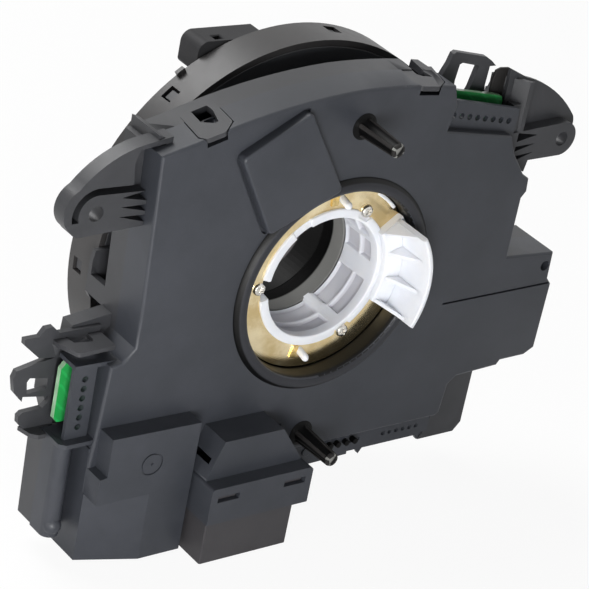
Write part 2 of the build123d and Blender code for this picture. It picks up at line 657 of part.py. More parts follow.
# Tapered guide pin that stands on the floor of the front housing
def guide_pin(place):
    """Pin from the floor of the front housing to its tip behind the cover."""
    with BuildPart() as pin:
        with BuildSketch(rear_plane(case_depth - wall)):
            with Locations((0, place)):
                Circle(pin_radius + 0.6 - fit_gap / 3)
        extrude(amount=case_depth - wall - cover_depth)
        with BuildSketch(rear_plane(cover_depth)):
            with Locations((0, place)):
                Circle(pin_radius)
        extrude(amount=cover_depth - pin_tip, taper=1.2)
        fillet(pin.faces().sort_by(Axis.Y)[0].edges(), radius=0.6)
        with BuildSketch(rear_plane(0)):
            with Locations((0, place - 1.6 * pin_radius), (0, place + 1.6 * pin_radius)):
                Rectangle(2 * pin_radius, 1.5 * pin_radius)
        extrude(amount=-pin_tip - 1.2, mode=Mode.SUBTRACT)
    return pin.part


upper_guide_pin = guide_pin(pin_height)
upper_guide_pin.label = "upper_guide_pin"
export_step(upper_guide_pin, "parts/upper_guide_pin.step")
lower_guide_pin = guide_pin(-pin_height)
lower_guide_pin.label = "lower_guide_pin"
export_step(lower_guide_pin, "parts/lower_guide_pin.step")


# Insulators and contacts of the plugs: middle, size, number and pitch of the contacts
contact_width = 0.9
left_contacts = (-59.2, 3.4)
middle_contacts = (-25.0, -3.4)


def contact_rows(centre, count, pitch, row_pitch, width):
    """Two rows of square contacts."""
    with BuildSketch(Plane.XY) as rows:
        with Locations(centre):
            with GridLocations(pitch, row_pitch, count, 2):
                Rectangle(width, width)
    return rows.sketch


with BuildPart() as left_plug_header:
    with BuildSketch(level_plane(left_plug_bottom + 27)) as header_section:
        Polygon((-45.6, 8.5), (-45.6, -4.1), (-58.2, -4.1), (-71.6, 0.9), (-72.6, 8.5), align=None)
        fillet(header_section.vertices(), radius=0.8)
        add(contact_rows(left_contacts, 8, 2.8, 4.2, contact_width + 0.1), mode=Mode.SUBTRACT)
    extrude(amount=5.7)
left_plug_header.part.label = "left_plug_header"
export_step(left_plug_header.part, "parts/left_plug_header.step")

with BuildPart() as left_plug_pins:
    with BuildSketch(level_plane(left_plug_bottom + 8)):
        add(contact_rows(left_contacts, 8, 2.8, 4.2, contact_width))
    extrude(amount=24.5)
    chamfer(left_plug_pins.faces().sort_by(Axis.Z).group_by(Axis.Z)[0].edges(), length=0.25)
left_plug_pins.part.label = "left_plug_pins"
export_step(left_plug_pins.part, "parts/left_plug_pins.step")


# Lower shell of the middle plug, latched into the hood
with BuildPart() as middle_plug_shell:
    with BuildSketch(level_plane(middle_plug_bottom)):
        Polygon((-39.65, 6.35), (-39.65, -13.15), (-8.35, -13.15), (-8.35, 6.35), align=None)
    extrude(amount=9.4)
    with BuildSketch(level_plane(shell_bottom)) as flange_section:
        Polygon((-41.5, 8.0), (-41.5, -14.6), (-10.5, -14.6), (-10.5, 8.0), align=None)
        fillet(flange_section.vertices(), radius=0.6)
    extrude(amount=middle_plug_bottom - shell_bottom)
    with BuildSketch(level_plane(shell_bottom)) as shell_cavity:
        Polygon((-37.6, 4.6), (-37.6, -11.2), (-12.4, -11.2), (-12.4, 4.6), align=None)
        fillet(shell_cavity.vertices(), radius=0.8)
    extrude(amount=20.0, mode=Mode.SUBTRACT)
    with BuildSketch(level_plane(-56.1)):
        with Locations((-35.8, -13.5), (-12.2, -13.5)):
            Rectangle(6.6, 1.4)
    extrude(amount=1.5)
middle_plug_shell.part.label = "middle_plug_shell"
export_step(middle_plug_shell.part, "parts/middle_plug_shell.step")

with BuildPart() as middle_plug_header:
    with BuildSketch(level_plane(shell_bottom + 16.0)) as middle_header_section:
        Polygon((-37.4, 4.4), (-37.4, -11.0), (-12.6, -11.0), (-12.6, 4.4), align=None)
        fillet(middle_header_section.vertices(), radius=0.8)
        add(contact_rows(middle_contacts, 8, 2.6, 6.0, contact_width + 0.1), mode=Mode.SUBTRACT)
    extrude(amount=4.0)
middle_plug_header.part.label = "middle_plug_header"
export_step(middle_plug_header.part, "parts/middle_plug_header.step")

with BuildPart() as middle_plug_pins:
    with BuildSketch(level_plane(shell_bottom + 6.5)):
        add(contact_rows(middle_contacts, 8, 2.6, 6.0, contact_width))
    extrude(amount=13.5)
    chamfer(middle_plug_pins.faces().sort_by(Axis.Z).group_by(Axis.Z)[0].edges(), length=0.25)
middle_plug_pins.part.label = "middle_plug_pins"
export_step(middle_plug_pins.part, "parts/middle_plug_pins.step")


# White ring: rim, sleeve, foot of the shield, shield and gussets
with BuildPart() as cancel_ring:
    with BuildSketch(level_plane(0)):
        with BuildLine():
            Polyline(
                (bore_radius, ring_depth),
                (ring_radius, ring_depth),
                (ring_radius, disc_depth),
                (sleeve_radius, disc_depth),
                (sleeve_radius, sleeve_end),
                (sleeve_bore, sleeve_end),
                (sleeve_bore, ring_depth + bore_length),
                (bore_radius, ring_depth + bore_length),
                close=True,
            )
        make_face()
    revolve(axis=Axis.Y)
    with BuildSketch(rear_plane(disc_depth)):
        for angle in screw_angles:
            add(ring_sector(bore_radius + 1.0, ring_radius + 1.0, angle - 8, angle + 8))
    extrude(amount=disc_depth - ring_depth + 1, mode=Mode.SUBTRACT)
    with BuildSketch(rear_plane(disc_depth)):
        add(ring_sector(sleeve_radius - 0.6, disc_radius - 0.1, shield_start, shield_end))
    extrude(amount=disc_depth - flange_rise)
    with BuildSketch(rear_plane(flange_rise)):
        add(ring_sector(shield_inner, shield_inner + shield_wall, shield_start, shield_end))
    extrude(amount=flange_rise - shield_tip)
    for angle in (shield_start + 1.5, -7.0, 14.5, shield_end - 1.5):
        across = (cos(radians(angle)), 0, sin(radians(angle)))
        normal = (-sin(radians(angle)), 0, cos(radians(angle)))
        with BuildSketch(Plane(origin=(0, cover_y, 0), x_dir=across, z_dir=normal)):
            Polygon((shield_inner + 0.3, -8.2), (shield_inner + 0.3, flange_rise + 0.2),
                    (ring_radius, flange_rise + 0.2), align=None)
        extrude(amount=gusset_wall / 2, both=True)
    with BuildSketch(rear_plane(sleeve_end - 2.0)):
        for angle in range(15, 360, 60):
            add(ring_sector(bore_radius - 2.5, ring_radius, angle, angle + 30))
    extrude(amount=4.2, mode=Mode.SUBTRACT)
    with BuildSketch(rear_plane(sleeve_end)):
        for angle in range(0, 360, 60):
            add(ring_sector(sleeve_bore - 0.8, sleeve_bore + 0.2, angle - 1.6, angle + 1.6))
    extrude(amount=sleeve_end - ring_depth - bore_length)
cancel_ring.part.label = "cancel_ring"
export_step(cancel_ring.part, "parts/cancel_ring.step")


# Polished disc with its screws and contact springs
with BuildPart() as brass_disc:
    with BuildSketch(rear_plane(disc_depth + disc_thickness)):
        Circle(disc_radius)
        Circle(sleeve_radius + fit_gap, mode=Mode.SUBTRACT)
        with PolarLocations(screw_circle, 3, start_angle=screw_angles[0]):
            Circle(screw_shank + 0.1, mode=Mode.SUBTRACT)
    extrude(amount=disc_thickness)
brass_disc.part.label = "brass_disc"
export_step(brass_disc.part, "parts/brass_disc.step")

with BuildPart() as disc_screws:
    with BuildSketch(rear_plane(disc_depth)):
        with PolarLocations(screw_circle, 3, start_angle=screw_angles[0]):
            Circle(screw_head)
    extrude(amount=1.1)
    fillet(disc_screws.faces().group_by(Axis.Y)[0].edges(), radius=0.5)
    with BuildSketch(rear_plane(disc_depth + 6.5)):
        with PolarLocations(screw_circle, 3, start_angle=screw_angles[0]):
            Circle(screw_shank)
    extrude(amount=6.5)
    with BuildSketch(rear_plane(disc_depth - 0.5)):
        with PolarLocations(screw_circle, 3, start_angle=screw_angles[0]):
            Rectangle(2.2, 0.5)
            Rectangle(0.5, 2.2)
    extrude(amount=1.0, mode=Mode.SUBTRACT)
disc_screws.part.label = "disc_screws"
export_step(disc_screws.part, "parts/disc_screws.step")

spring_angles = [95, 250]
with BuildPart() as contact_springs:
    with BuildSketch(rear_plane(disc_depth)):
        for angle in spring_angles:
            add(ring_sector(ring_radius + 0.3, ring_radius + 3.6, angle - 3.5, angle + 3.5))
    extrude(amount=0.6)
contact_springs.part.label = "contact_springs"
export_step(contact_springs.part, "parts/contact_springs.step")


# Sleeve that carries the ring and the disc
flange_depth = disc_depth + disc_thickness
collar_radius = hub_radius + 2.0
joint_depth = cassette_depth + cassette_floor + free_gap
with BuildPart() as rear_hub:
    with BuildSketch(level_plane(0)):
        with BuildLine():
            Polyline(
                (sleeve_radius + 0.1, flange_depth),
                (hub_flange, flange_depth),
                (hub_flange, flange_depth + hub_flange_thickness),
                (hub_radius, flange_depth + hub_flange_thickness),
                (hub_radius, cassette_depth - 2.7),
                (collar_radius, cassette_depth - 2.7),
                (collar_radius, cassette_depth - free_gap),
                (hub_radius, cassette_depth - free_gap),
                (hub_radius, joint_depth),
                (hub_bore, joint_depth),
                (hub_bore, sleeve_end),
                (sleeve_radius + 0.1, sleeve_end),
                close=True,
            )
        make_face()
    revolve(axis=Axis.Y)
    with BuildSketch(rear_plane(disc_depth + 7.0)):
        with PolarLocations(screw_circle, 3, start_angle=screw_angles[0]):
            Circle(screw_shank + 0.05)
    extrude(amount=7.0, mode=Mode.SUBTRACT)
rear_hub.part.label = "rear_hub"
export_step(rear_hub.part, "parts/rear_hub.step")


# Turning lid on the wheel side
lid_depth = cassette_depth + cassette_height - 1.3
lid_radius = cassette_radius - 3.8
with BuildPart() as front_rotor:
    with BuildSketch(level_plane(0)):
        with BuildLine():
            Polyline(
                (hub_bore, joint_depth),
                (collar_radius, joint_depth),
                (collar_radius, lid_depth),
                (lid_radius, lid_depth),
                (lid_radius, lid_depth + lid_thickness),
                (hub_radius, lid_depth + lid_thickness),
                (hub_radius, lid_depth + 8.0),
                (hub_bore, lid_depth + 8.0),
                close=True,
            )
        make_face()
    revolve(axis=Axis.Y)
    with BuildSketch(rear_plane(lid_depth + 9.0)):
        with Locations((38.0, -8.0), (-38.0, -8.0)):
            Circle(3.4)
    extrude(amount=9.0 - lid_thickness / 2)
    fillet(front_rotor.faces().sort_by(Axis.Y)[-2:].edges(), radius=0.8)
    with BuildSketch(rear_plane(lid_depth + lid_thickness + 1.2)):
        with PolarLocations((hub_radius + lid_radius) / 2, 6, start_angle=30):
            Rectangle(lid_radius - hub_radius - 6.0, 1.4)
    extrude(amount=1.2)
front_rotor.part.label = "front_rotor"
export_step(front_rotor.part, "parts/front_rotor.step")

with BuildPart() as slide_ring:
    with BuildSketch(rear_plane(lid_depth)):
        Circle(lid_radius - 0.4)
        Circle(collar_radius + fit_gap, mode=Mode.SUBTRACT)
    extrude(amount=slide_thickness)
slide_ring.part.label = "slide_ring"
export_step(slide_ring.part, "parts/slide_ring.step")


# Plug box on the turning lid
plug_base = lid_depth + lid_thickness
plug_height = 9.0
plug_contact = 4.8
wheel_contacts = (-18.0, 55.6)


def wheel_plug_outline(grow=0.0):
    """Box with a round and a cut corner, outside the hub and above the lid."""
    with BuildSketch(Plane.XY) as outline:
        with BuildLine():
            Polyline((-28.4, 50.6), (-30.4, 51.8), (-30.4, 57.6))
            ThreePointArc((-30.4, 57.6), (-29.4, 60.0), (-27.0, 60.9))
            Polyline((-27.0, 60.9), (-6.4, 60.2), (-5.6, 59.4), (-5.6, 50.6), (-28.4, 50.6))
        make_face()
        if grow:
            offset(amount=grow, kind=Kind.INTERSECTION)
    return outline.sketch


with BuildPart() as wheel_plug_shell:
    with BuildSketch(rear_plane(plug_base + plug_height)):
        add(wheel_plug_outline())
    extrude(amount=plug_height)
    with BuildSketch(rear_plane(plug_base + plug_height)):
        add(wheel_plug_outline(-1.8))
    extrude(amount=plug_height - 2.4, mode=Mode.SUBTRACT)
    with BuildSketch(rear_plane(plug_base + 2.4)):
        with Locations(wheel_contacts):
            with GridLocations(3.8, 3.0, 5, 2):
                Rectangle(contact_width + 0.1, contact_width + 0.1)
    extrude(amount=2.4, mode=Mode.SUBTRACT)
    with BuildSketch(level_plane(62.0)):
        with Locations((-22.8, plug_base + 2.6)):
            Rectangle(2.6, 2.4)
    extrude(amount=-4.0, mode=Mode.SUBTRACT)
wheel_plug_shell.part.label = "wheel_plug_shell"
export_step(wheel_plug_shell.part, "parts/wheel_plug_shell.step")

with BuildPart() as wheel_plug_pins:
    with BuildSketch(rear_plane(plug_base + plug_contact)):
        with Locations(wheel_contacts):
            with GridLocations(3.8, 3.0, 5, 2):
                Rectangle(contact_width, contact_width)
    extrude(amount=plug_contact)
wheel_plug_pins.part.label = "wheel_plug_pins"
export_step(wheel_plug_pins.part, "parts/wheel_plug_pins.step")


# Cassette: bowl, outer ring with snap windows, wound ribbon and screws
snap_count = 7
snap_angles = [-178.2 + 360 / snap_count * step for step in range(snap_count)]
bowl_radius = cassette_radius - ring_wall - 0.1
with BuildPart() as cassette_base:
    with BuildSketch(level_plane(0)):
        with BuildLine():
            Polyline(
                (hub_radius + journal_gap, cassette_depth),
                (bowl_radius, cassette_depth),
                (bowl_radius, cassette_depth + cassette_height - 1.7),
                (bowl_radius - cassette_wall, cassette_depth + cassette_height - 1.7),
                (bowl_radius - cassette_wall, cassette_depth + cassette_floor),
                (hub_radius + journal_gap, cassette_depth + cassette_floor),
                close=True,
            )
        make_face()
    revolve(axis=Axis.Y)
    with BuildSketch(rear_plane(cassette_depth + 9.5)):
        for angle in snap_angles:
            add(ring_sector(bowl_radius - 0.5, cassette_radius - 0.7, angle - 1.5, angle + 1.5))
    extrude(amount=3.2)
    with BuildSketch(rear_plane(cassette_depth + cassette_floor)):
        with PolarLocations(neck_radius - 4.0, 4, start_angle=45):
            Circle(case_screw_radius + 0.1)
    extrude(amount=cassette_floor, mode=Mode.SUBTRACT)
cassette_base.part.label = "cassette_base"
export_step(cassette_base.part, "parts/cassette_base.step")

with BuildPart() as cassette_ring:
    with BuildSketch(level_plane(0)):
        with BuildLine():
            Polyline(
                (cassette_radius - ring_wall, cassette_depth),
                (cassette_radius, cassette_depth),
                (cassette_radius, cassette_depth + cassette_height),
                (lid_radius + free_gap, cassette_depth + cassette_height),
                (lid_radius + free_gap, cassette_depth + cassette_height - 1.7),
                (cassette_radius - ring_wall, cassette_depth + cassette_height - 1.7),
                close=True,
            )
        make_face()
    revolve(axis=Axis.Y)
    with BuildSketch(rear_plane(cassette_depth + 10.0)):
        for angle in snap_angles:
            add(ring_sector(cassette_radius - ring_wall - 0.5, cassette_radius + 1, angle - 1.95, angle + 1.95))
    extrude(amount=4.2, mode=Mode.SUBTRACT)
    with BuildSketch(rear_plane(cassette_depth + cassette_height)):
        add(ring_sector(cassette_radius - 0.6, cassette_radius + 1.4, 123.2, 125.6))
    extrude(amount=1.4)
cassette_ring.part.label = "cassette_ring"
export_step(cassette_ring.part, "parts/cassette_ring.step")

ribbon_start = collar_radius + 2.0
ribbon_room = bowl_radius - cassette_wall - ribbon_margin - ribbon_thickness - ribbon_start
ribbon_pitch = ribbon_room / ribbon_turns
ribbon_rear = cassette_depth + cassette_floor + 1.4
with BuildPart() as ribbon_cable:
    with BuildSketch(rear_plane(lid_depth - slide_thickness - free_gap)):
        with BuildLine():
            for face in (0.0, ribbon_thickness):
                for turn in range(2 * ribbon_turns):
                    radius = ribbon_start + face + turn * ribbon_pitch / 2
                    middle = ribbon_pitch / 2 * (turn % 2)
                    side = 1 - 2 * (turn % 2)
                    ThreePointArc((middle + side * radius, 0), (middle, side * radius), (middle - side * radius, 0))
            inner_end = ribbon_start
            outer_end = ribbon_start + (2 * ribbon_turns - 1) * ribbon_pitch / 2 + ribbon_pitch / 2
            Line((inner_end, 0), (inner_end + ribbon_thickness, 0))
            Line((outer_end, 0), (outer_end + ribbon_thickness, 0))
        make_face()
    extrude(amount=lid_depth - slide_thickness - free_gap - ribbon_rear)
ribbon_cable.part.label = "ribbon_cable"
export_step(ribbon_cable.part, "parts/ribbon_cable.step")


def screw_set(head_depth, head_radius, head_height, shank_radius, shank_length, places):
    """Screws whose heads stand on the wheel side."""
    with BuildPart() as screws:
        with BuildSketch(rear_plane(head_depth + head_height)):
            with Locations(*places):
                Circle(head_radius)
        extrude(amount=head_height)
        with BuildSketch(rear_plane(head_depth)):
            with Locations(*places):
                Circle(shank_radius)
        extrude(amount=shank_length)
        with BuildSketch(rear_plane(head_depth + head_height)):
            with Locations(*places):
                RegularPolygon(head_radius * 0.45, 6)
        extrude(amount=head_height * 0.6, mode=Mode.SUBTRACT)
    return screws.part


cassette_places = [((neck_radius - 4.0) * cos(radians(angle)), (neck_radius - 4.0) * sin(radians(angle)))
                   for angle in (45, 135, 225, 315)]
cassette_screws = screw_set(cassette_depth + cassette_floor, 2.4, 1.0, case_screw_radius - 0.1, 8.0, cassette_places)
cassette_screws.label = "cassette_screws"
export_step(cassette_screws, "parts/cassette_screws.step")
case_screws = screw_set(case_depth, case_head, 1.6, case_screw_radius - 0.1, 12.0, case_screw_places)
case_screws.label = "case_screws"
export_step(case_screws, "parts/case_screws.step")
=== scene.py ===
# %% [markdown]
# # A steering clock spring, dressed for a catalogue photograph
#
# The object is the black switch housing that sits round a steering column, with the clock spring behind it.
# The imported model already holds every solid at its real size, so this file does three things: it gives the
# moulded solids soft edges, it works out the round pieces again as smooth surfaces, and it gives each
# material the grain, gloss and marks that the real one shows.
#
# Everything is in metres.  Y runs along the steering axis towards the wheel and Z runs up.

import bpy
import bmesh
import json
import numpy as np
from math import cos, pi, radians, sin, tau
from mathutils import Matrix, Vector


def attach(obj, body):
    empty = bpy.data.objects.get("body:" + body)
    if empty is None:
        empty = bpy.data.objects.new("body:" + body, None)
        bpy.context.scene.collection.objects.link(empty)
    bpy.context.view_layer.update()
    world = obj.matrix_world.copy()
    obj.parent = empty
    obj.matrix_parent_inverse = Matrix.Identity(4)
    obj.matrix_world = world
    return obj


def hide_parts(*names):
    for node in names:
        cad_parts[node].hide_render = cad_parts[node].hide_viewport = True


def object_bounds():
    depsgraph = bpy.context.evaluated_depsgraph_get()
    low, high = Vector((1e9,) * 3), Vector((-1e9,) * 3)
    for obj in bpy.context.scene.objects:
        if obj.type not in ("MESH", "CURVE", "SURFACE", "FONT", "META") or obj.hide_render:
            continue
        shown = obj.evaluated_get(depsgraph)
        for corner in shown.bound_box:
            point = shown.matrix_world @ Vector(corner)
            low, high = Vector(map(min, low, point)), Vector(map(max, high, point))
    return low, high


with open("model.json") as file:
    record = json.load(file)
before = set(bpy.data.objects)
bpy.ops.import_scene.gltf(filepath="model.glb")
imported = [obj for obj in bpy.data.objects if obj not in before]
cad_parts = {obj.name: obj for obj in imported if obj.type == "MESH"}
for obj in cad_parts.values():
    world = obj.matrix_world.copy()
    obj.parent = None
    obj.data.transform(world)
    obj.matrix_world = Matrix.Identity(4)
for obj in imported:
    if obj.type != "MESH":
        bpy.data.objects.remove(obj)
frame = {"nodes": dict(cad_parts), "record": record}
cad_box = [list(map(float, corner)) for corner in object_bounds()]
MM = 0.001
FACE = -3.8  # depth of the cover face, in millimetres: drawings count depths from that face
print("nodes", len(frame["nodes"]), "box", cad_box)

# %% [markdown]
# ## Writing shader maths as expressions
#
# A material's pattern is a number that changes over the surface.  Written with Math nodes, even a short
# formula turns into a page of links.  A small class that holds one socket and overloads the arithmetic
# operators lets the formula be written as it is spoken, and adds the nodes by itself.


# %% A socket that can be added and scaled
class Signal:
    """One varying number of a material.  Arithmetic on it adds Math nodes."""

    def __init__(self, finish, socket):
        self.finish, self.socket = finish, socket

    def _math(self, operation, first, second=None, clamp=False):
        """The Math node of one operation, with numbers or signals at its inputs."""
        values = {0: first} if second is None else {0: first, 1: second}
        return self.finish.node("ShaderNodeMath", {"operation": operation, "use_clamp": clamp}, values)[0]

    def __add__(self, other):
        return self._math("ADD", self, other)

    __radd__ = __add__

    def __sub__(self, other):
        return self._math("SUBTRACT", self, other)

    def __rsub__(self, other):
        return self._math("SUBTRACT", other, self)

    def __mul__(self, other):
        return self._math("MULTIPLY", self, other)

    __rmul__ = __mul__

    def __pow__(self, other):
        return self._math("POWER", self, other)

    def sine(self):
        """Sine of the number, taken as an angle in radians."""
        return self._math("SINE", self)

    def size(self):
        """The number without its sign."""
        return self._math("ABSOLUTE", self)

    def clip(self):
        """The number held between 0 and 1."""
        return self._math("ADD", self, 0.0, clamp=True)

    def step(self, low, high):
        """Smooth rise from 0 at low to 1 at high."""
        settings = {"interpolation_type": "SMOOTHSTEP", "clamp": True}
        return self.finish.node("ShaderNodeMapRange", settings, {0: self, 1: low, 2: high})[0]


print("signals ready")

# %% [markdown]
# ## A material under construction
#
# Every finish of this object is one Principled shader with patterns in front of it.  They could be joined by
# hand in the node editor, but then nobody can read why.  A second small class holds the material and makes
# every kind of node in one method, so that a finish reads as a recipe: where a pattern lives, which tones it
# mixes, how rough it is and how it stands up.


# %% A shader whose sockets are filled by name
class Finish:
    """A material under construction, around one Principled shader."""

    def __init__(self, name, **plain):
        self.material = bpy.data.materials.new(name)
        self.material.use_nodes = True
        self.tree = self.material.node_tree
        self.shader = self.tree.nodes["Principled BSDF"]
        self.set(**plain)

    def node(self, kind, settings=None, values=None):
        """Any node: its settings first, then its input values or links.  Gives its outputs as signals."""
        made = self.tree.nodes.new(kind)
        for key, value in (settings or {}).items():
            setattr(made, key, value)
        for key, value in (values or {}).items():
            self.plug(made.inputs[key], value)
        return [Signal(self, out) for out in made.outputs]

    def plug(self, entry, value):
        """Put a number, a colour or a signal into an input."""
        if isinstance(value, Signal):
            self.tree.links.new(value.socket, entry)
        elif isinstance(value, tuple) and len(value) == 3 and entry.type == "RGBA":
            entry.default_value = (*value, 1.0)
        else:
            entry.default_value = value

    def set(self, **values):
        """Fill sockets of the Principled shader: underscores stand for the blanks in their names."""
        for key, value in values.items():
            self.plug(self.shader.inputs[key.replace("_", " ")], value)

    def place(self):
        """Object coordinates, in metres, as a vector and as its three parts."""
        spot = self.node("ShaderNodeTexCoord")[3]
        return spot, self.node("ShaderNodeSeparateXYZ", None, {0: spot})

    def noise(self, spot, scale, detail=3.0, rough=0.55):
        """Cloudy noise between 0 and 1, with scale clouds to the metre."""
        values = {"Vector": spot, "Scale": scale, "Detail": detail, "Roughness": rough}
        return self.node("ShaderNodeTexNoise", None, values)[0]

    def speckle(self, spot, scale):
        """Distance to the nearest of many scattered points."""
        return self.node("ShaderNodeTexVoronoi", None, {"Vector": spot, "Scale": scale})[0]

    def stretch(self, spot, scale, turn):
        """Coordinates turned by angles and then scaled along each axis."""
        return self.node("ShaderNodeMapping", None, {"Vector": spot, "Rotation": turn, "Scale": scale})[0]

    def mix(self, share, first, second):
        """Colour between two colours."""
        return self.node("ShaderNodeMix", {"data_type": "RGBA"}, {0: share, 6: first, 7: second})[2]

    def attribute(self, name):
        """A number kept on the points of the mesh."""
        return self.node("ShaderNodeAttribute", {"attribute_name": name})[2]

    def bump(self, height, strength, distance):
        """Normal of a surface that rises by height times distance."""
        values = {"Height": height, "Strength": strength, "Distance": distance}
        return self.node("ShaderNodeBump", None, values)[0]


print("finishes can be made")

# %% [markdown]
# ## Moulded black plastic
#
# The case is glass-filled plastic.  Its skin shows a very fine grain from the mould, a soft gloss, and a few
# pale rubbed marks and specks of dust.  Grain of a tenth of a millimetre cannot be modelled, so it goes into
# the bump and the roughness.  The tone differs between pieces: the cover is slightly blue, the front housing
# is warmer, so one function makes each with its own two tones.
#
# Inside the column bore three bands of painted light and shade lie one behind the other.  They follow the
# distance along the axis, so the bore of the hub and of the turning plate takes them from the object's own Y.


# %% The recipe of moulded plastic
BORE_EDGE = (0.0193, 0.0196)  # metres from the axis between which the bore's painted light and shade fade out
BORE_PAINTED_LIGHT_EDGES = ((0.0208, 0.0216), (0.0338, 0.0344))  # metres along Y where one band of painted light and shade blends into the next
BORE_PAINTED_LIGHT_TONES = ((0.21, 0.21, 0.20), (0.001, 0.001, 0.001), (0.13, 0.12, 0.125))  # painted light and shade: a lit band, a painted shadow, a dim band lit from behind
# black for painted shade and pale for painted highlight, put down where the points' tint says
PAINTED_SHADE_BLACK, PAINTED_HIGHLIGHT_PALE = (0.0012, 0.0012, 0.0013), (0.20, 0.20, 0.19)


def moulded(name, dark, pale, rough=0.42, gloss=0.34, painted_bore_light=False, tint_paints_light=False):
    """Black plastic: two tones mixed by slow noise, fine mould grain, scattered specks of dust.

    The first switch paints light and shade along the inside of the column bore: a lit band, a painted shadow
    and a band lit from behind.
    worn reads the points' tint: 1 is a black groove and 2 is a tip rubbed pale."""
    made = Finish(name, Specular_IOR_Level=gloss)
    spot, (x, y, z) = made.place()
    slow = made.noise(spot, 45.0, 4.0)
    fine = made.noise(spot, 4200.0, 2.0)
    cloud = made.noise(spot, 260.0, 5.0, 0.65)
    specks = (1 - made.speckle(spot, 620.0).step(0.02, 0.13)) * cloud.step(0.55, 0.75)
    tone = made.mix((slow * 0.7 + cloud * 0.3).step(0.3, 0.72), dark, pale)
    tone = made.mix(specks * 0.25, tone, tuple(3.2 * part + 0.05 for part in pale))
    if painted_bore_light:
        # painted light and shade inside the bore: a lit grey band, a black painted shadow, a dim band lit from
        # behind
        painted_lit_band, painted_shadow_band, painted_backlit_band = BORE_PAINTED_LIGHT_TONES
        painted_bore_bands = made.mix(y.step(*BORE_PAINTED_LIGHT_EDGES[1]), made.mix(y.step(*BORE_PAINTED_LIGHT_EDGES[0]), painted_lit_band, painted_shadow_band), painted_backlit_band)
        tone = made.mix(1 - ((x * x + z * z) ** 0.5).step(*BORE_EDGE), tone, painted_bore_bands)
    if tint_paints_light:
        # painted shade where the points' tint is near 1, painted highlight where it is near 2
        painted_light_tint = made.attribute("tint")
        tone = made.mix(painted_light_tint.step(0.1, 0.9), tone, PAINTED_SHADE_BLACK)
        tone = made.mix(painted_light_tint.step(1.3, 1.9), tone, PAINTED_HIGHLIGHT_PALE)
    made.set(Base_Color=tone, Roughness=(rough + (cloud - 0.5) * 0.16 + specks * 0.2).clip())
    made.set(Normal=made.bump(fine + cloud * 0.6, 0.35, 0.00006))
    return made.material


print("bands along the bore", len(BORE_PAINTED_LIGHT_TONES))

# %% Moulded plastic in its shades
COVER = (0.030, 0.033, 0.040), (0.041, 0.044, 0.053)  # dark and pale tone of each plastic
HOUSING = (0.030, 0.031, 0.034), (0.043, 0.044, 0.049)
SHELL = (0.034, 0.032, 0.035), (0.046, 0.044, 0.047)
OUTER_RING = (0.030, 0.029, 0.030), (0.042, 0.040, 0.040)
ROTOR = (0.028, 0.028, 0.030), (0.040, 0.040, 0.042)
HUB = (0.040, 0.040, 0.042), (0.052, 0.052, 0.054)
# the lip is a darker, less glossy copy of the cover plastic: painted shade
SHADED_LIP_TONES = (0.022, 0.023, 0.027), (0.030, 0.031, 0.036)
PIN = (0.020, 0.019, 0.019), (0.034, 0.032, 0.031)
CHIP = (0.012, 0.012, 0.013), (0.020, 0.020, 0.022)
plastics = {
    "cover_plastic": moulded("cover_plastic", *COVER, rough=0.40),
    "housing_plastic": moulded("housing_plastic", *HOUSING, rough=0.41),
    "shell_plastic": moulded("shell_plastic", *SHELL, rough=0.46),
    "ring_plastic": moulded("ring_plastic", *OUTER_RING, rough=0.36),
    # the rotor and the hub carry painted light and shade inside the column bore
    "rotor_plastic": moulded("rotor_plastic", *ROTOR, rough=0.5, gloss=0.1, painted_bore_light=True),
    "lip_plastic": moulded("lip_plastic", *SHADED_LIP_TONES, gloss=0.22, tint_paints_light=True),
    "pin_plastic": moulded("pin_plastic", *PIN, rough=0.5, gloss=0.12, tint_paints_light=True),
    "hub_plastic": moulded("hub_plastic", *HUB, rough=0.6, gloss=0.04, painted_bore_light=True),
    "chip_black": moulded("chip_black", *CHIP, rough=0.55),
}
print("plastics", sorted(plastics))

# %% [markdown]
# ## White nylon
#
# The column ring is white nylon: light goes a little way into it, so it gets some subsurface scattering.
# The panels in its wall, and faintly the whole inner wall, are greyed with painted shade.  That shade could be
# worked out from the coordinates once more, but a tint kept on the points follows the panels by itself.


# %% White nylon of the column ring
def white_nylon():
    """White nylon: faint yellowing in patches, soft grain, light that goes in under the surface."""
    made = Finish("white_nylon", Subsurface_Weight=0.35, Subsurface_Scale=0.004, Specular_IOR_Level=0.5)
    made.set(Subsurface_Radius=(1.0, 0.9, 0.8))
    spot, _ = made.place()
    slow = made.noise(spot, 70.0, 3.0)
    fine = made.noise(spot, 1800.0, 3.0)
    painted_panel_shade = made.attribute("tint")
    tone = made.mix(slow.step(0.35, 0.7), (0.78, 0.80, 0.85), (0.84, 0.85, 0.88))
    # painted shade: the points' tint greys the panels and the inner wall
    tone = made.mix(painted_panel_shade * 0.75, tone, (0.46, 0.45, 0.49))
    made.set(Base_Color=tone, Roughness=0.38 + (fine - 0.5) * 0.12, Normal=made.bump(fine, 0.12, 0.00008))
    return made.material


small_finishes = {"white_nylon": white_nylon()}
print("made", list(small_finishes))

# %% [markdown]
# ## Turned brass and plated metal
#
# The disc is turned brass with fine rings left by the tool.  Real grooves that fine would need millions of
# faces, so they are a sine of the distance from the axis, broken up by noise, in the bump and the roughness.
# Screws, contacts and the two gilt leaves are plated: cloudy tones, and scratches from noise that is
# stretched along one direction.


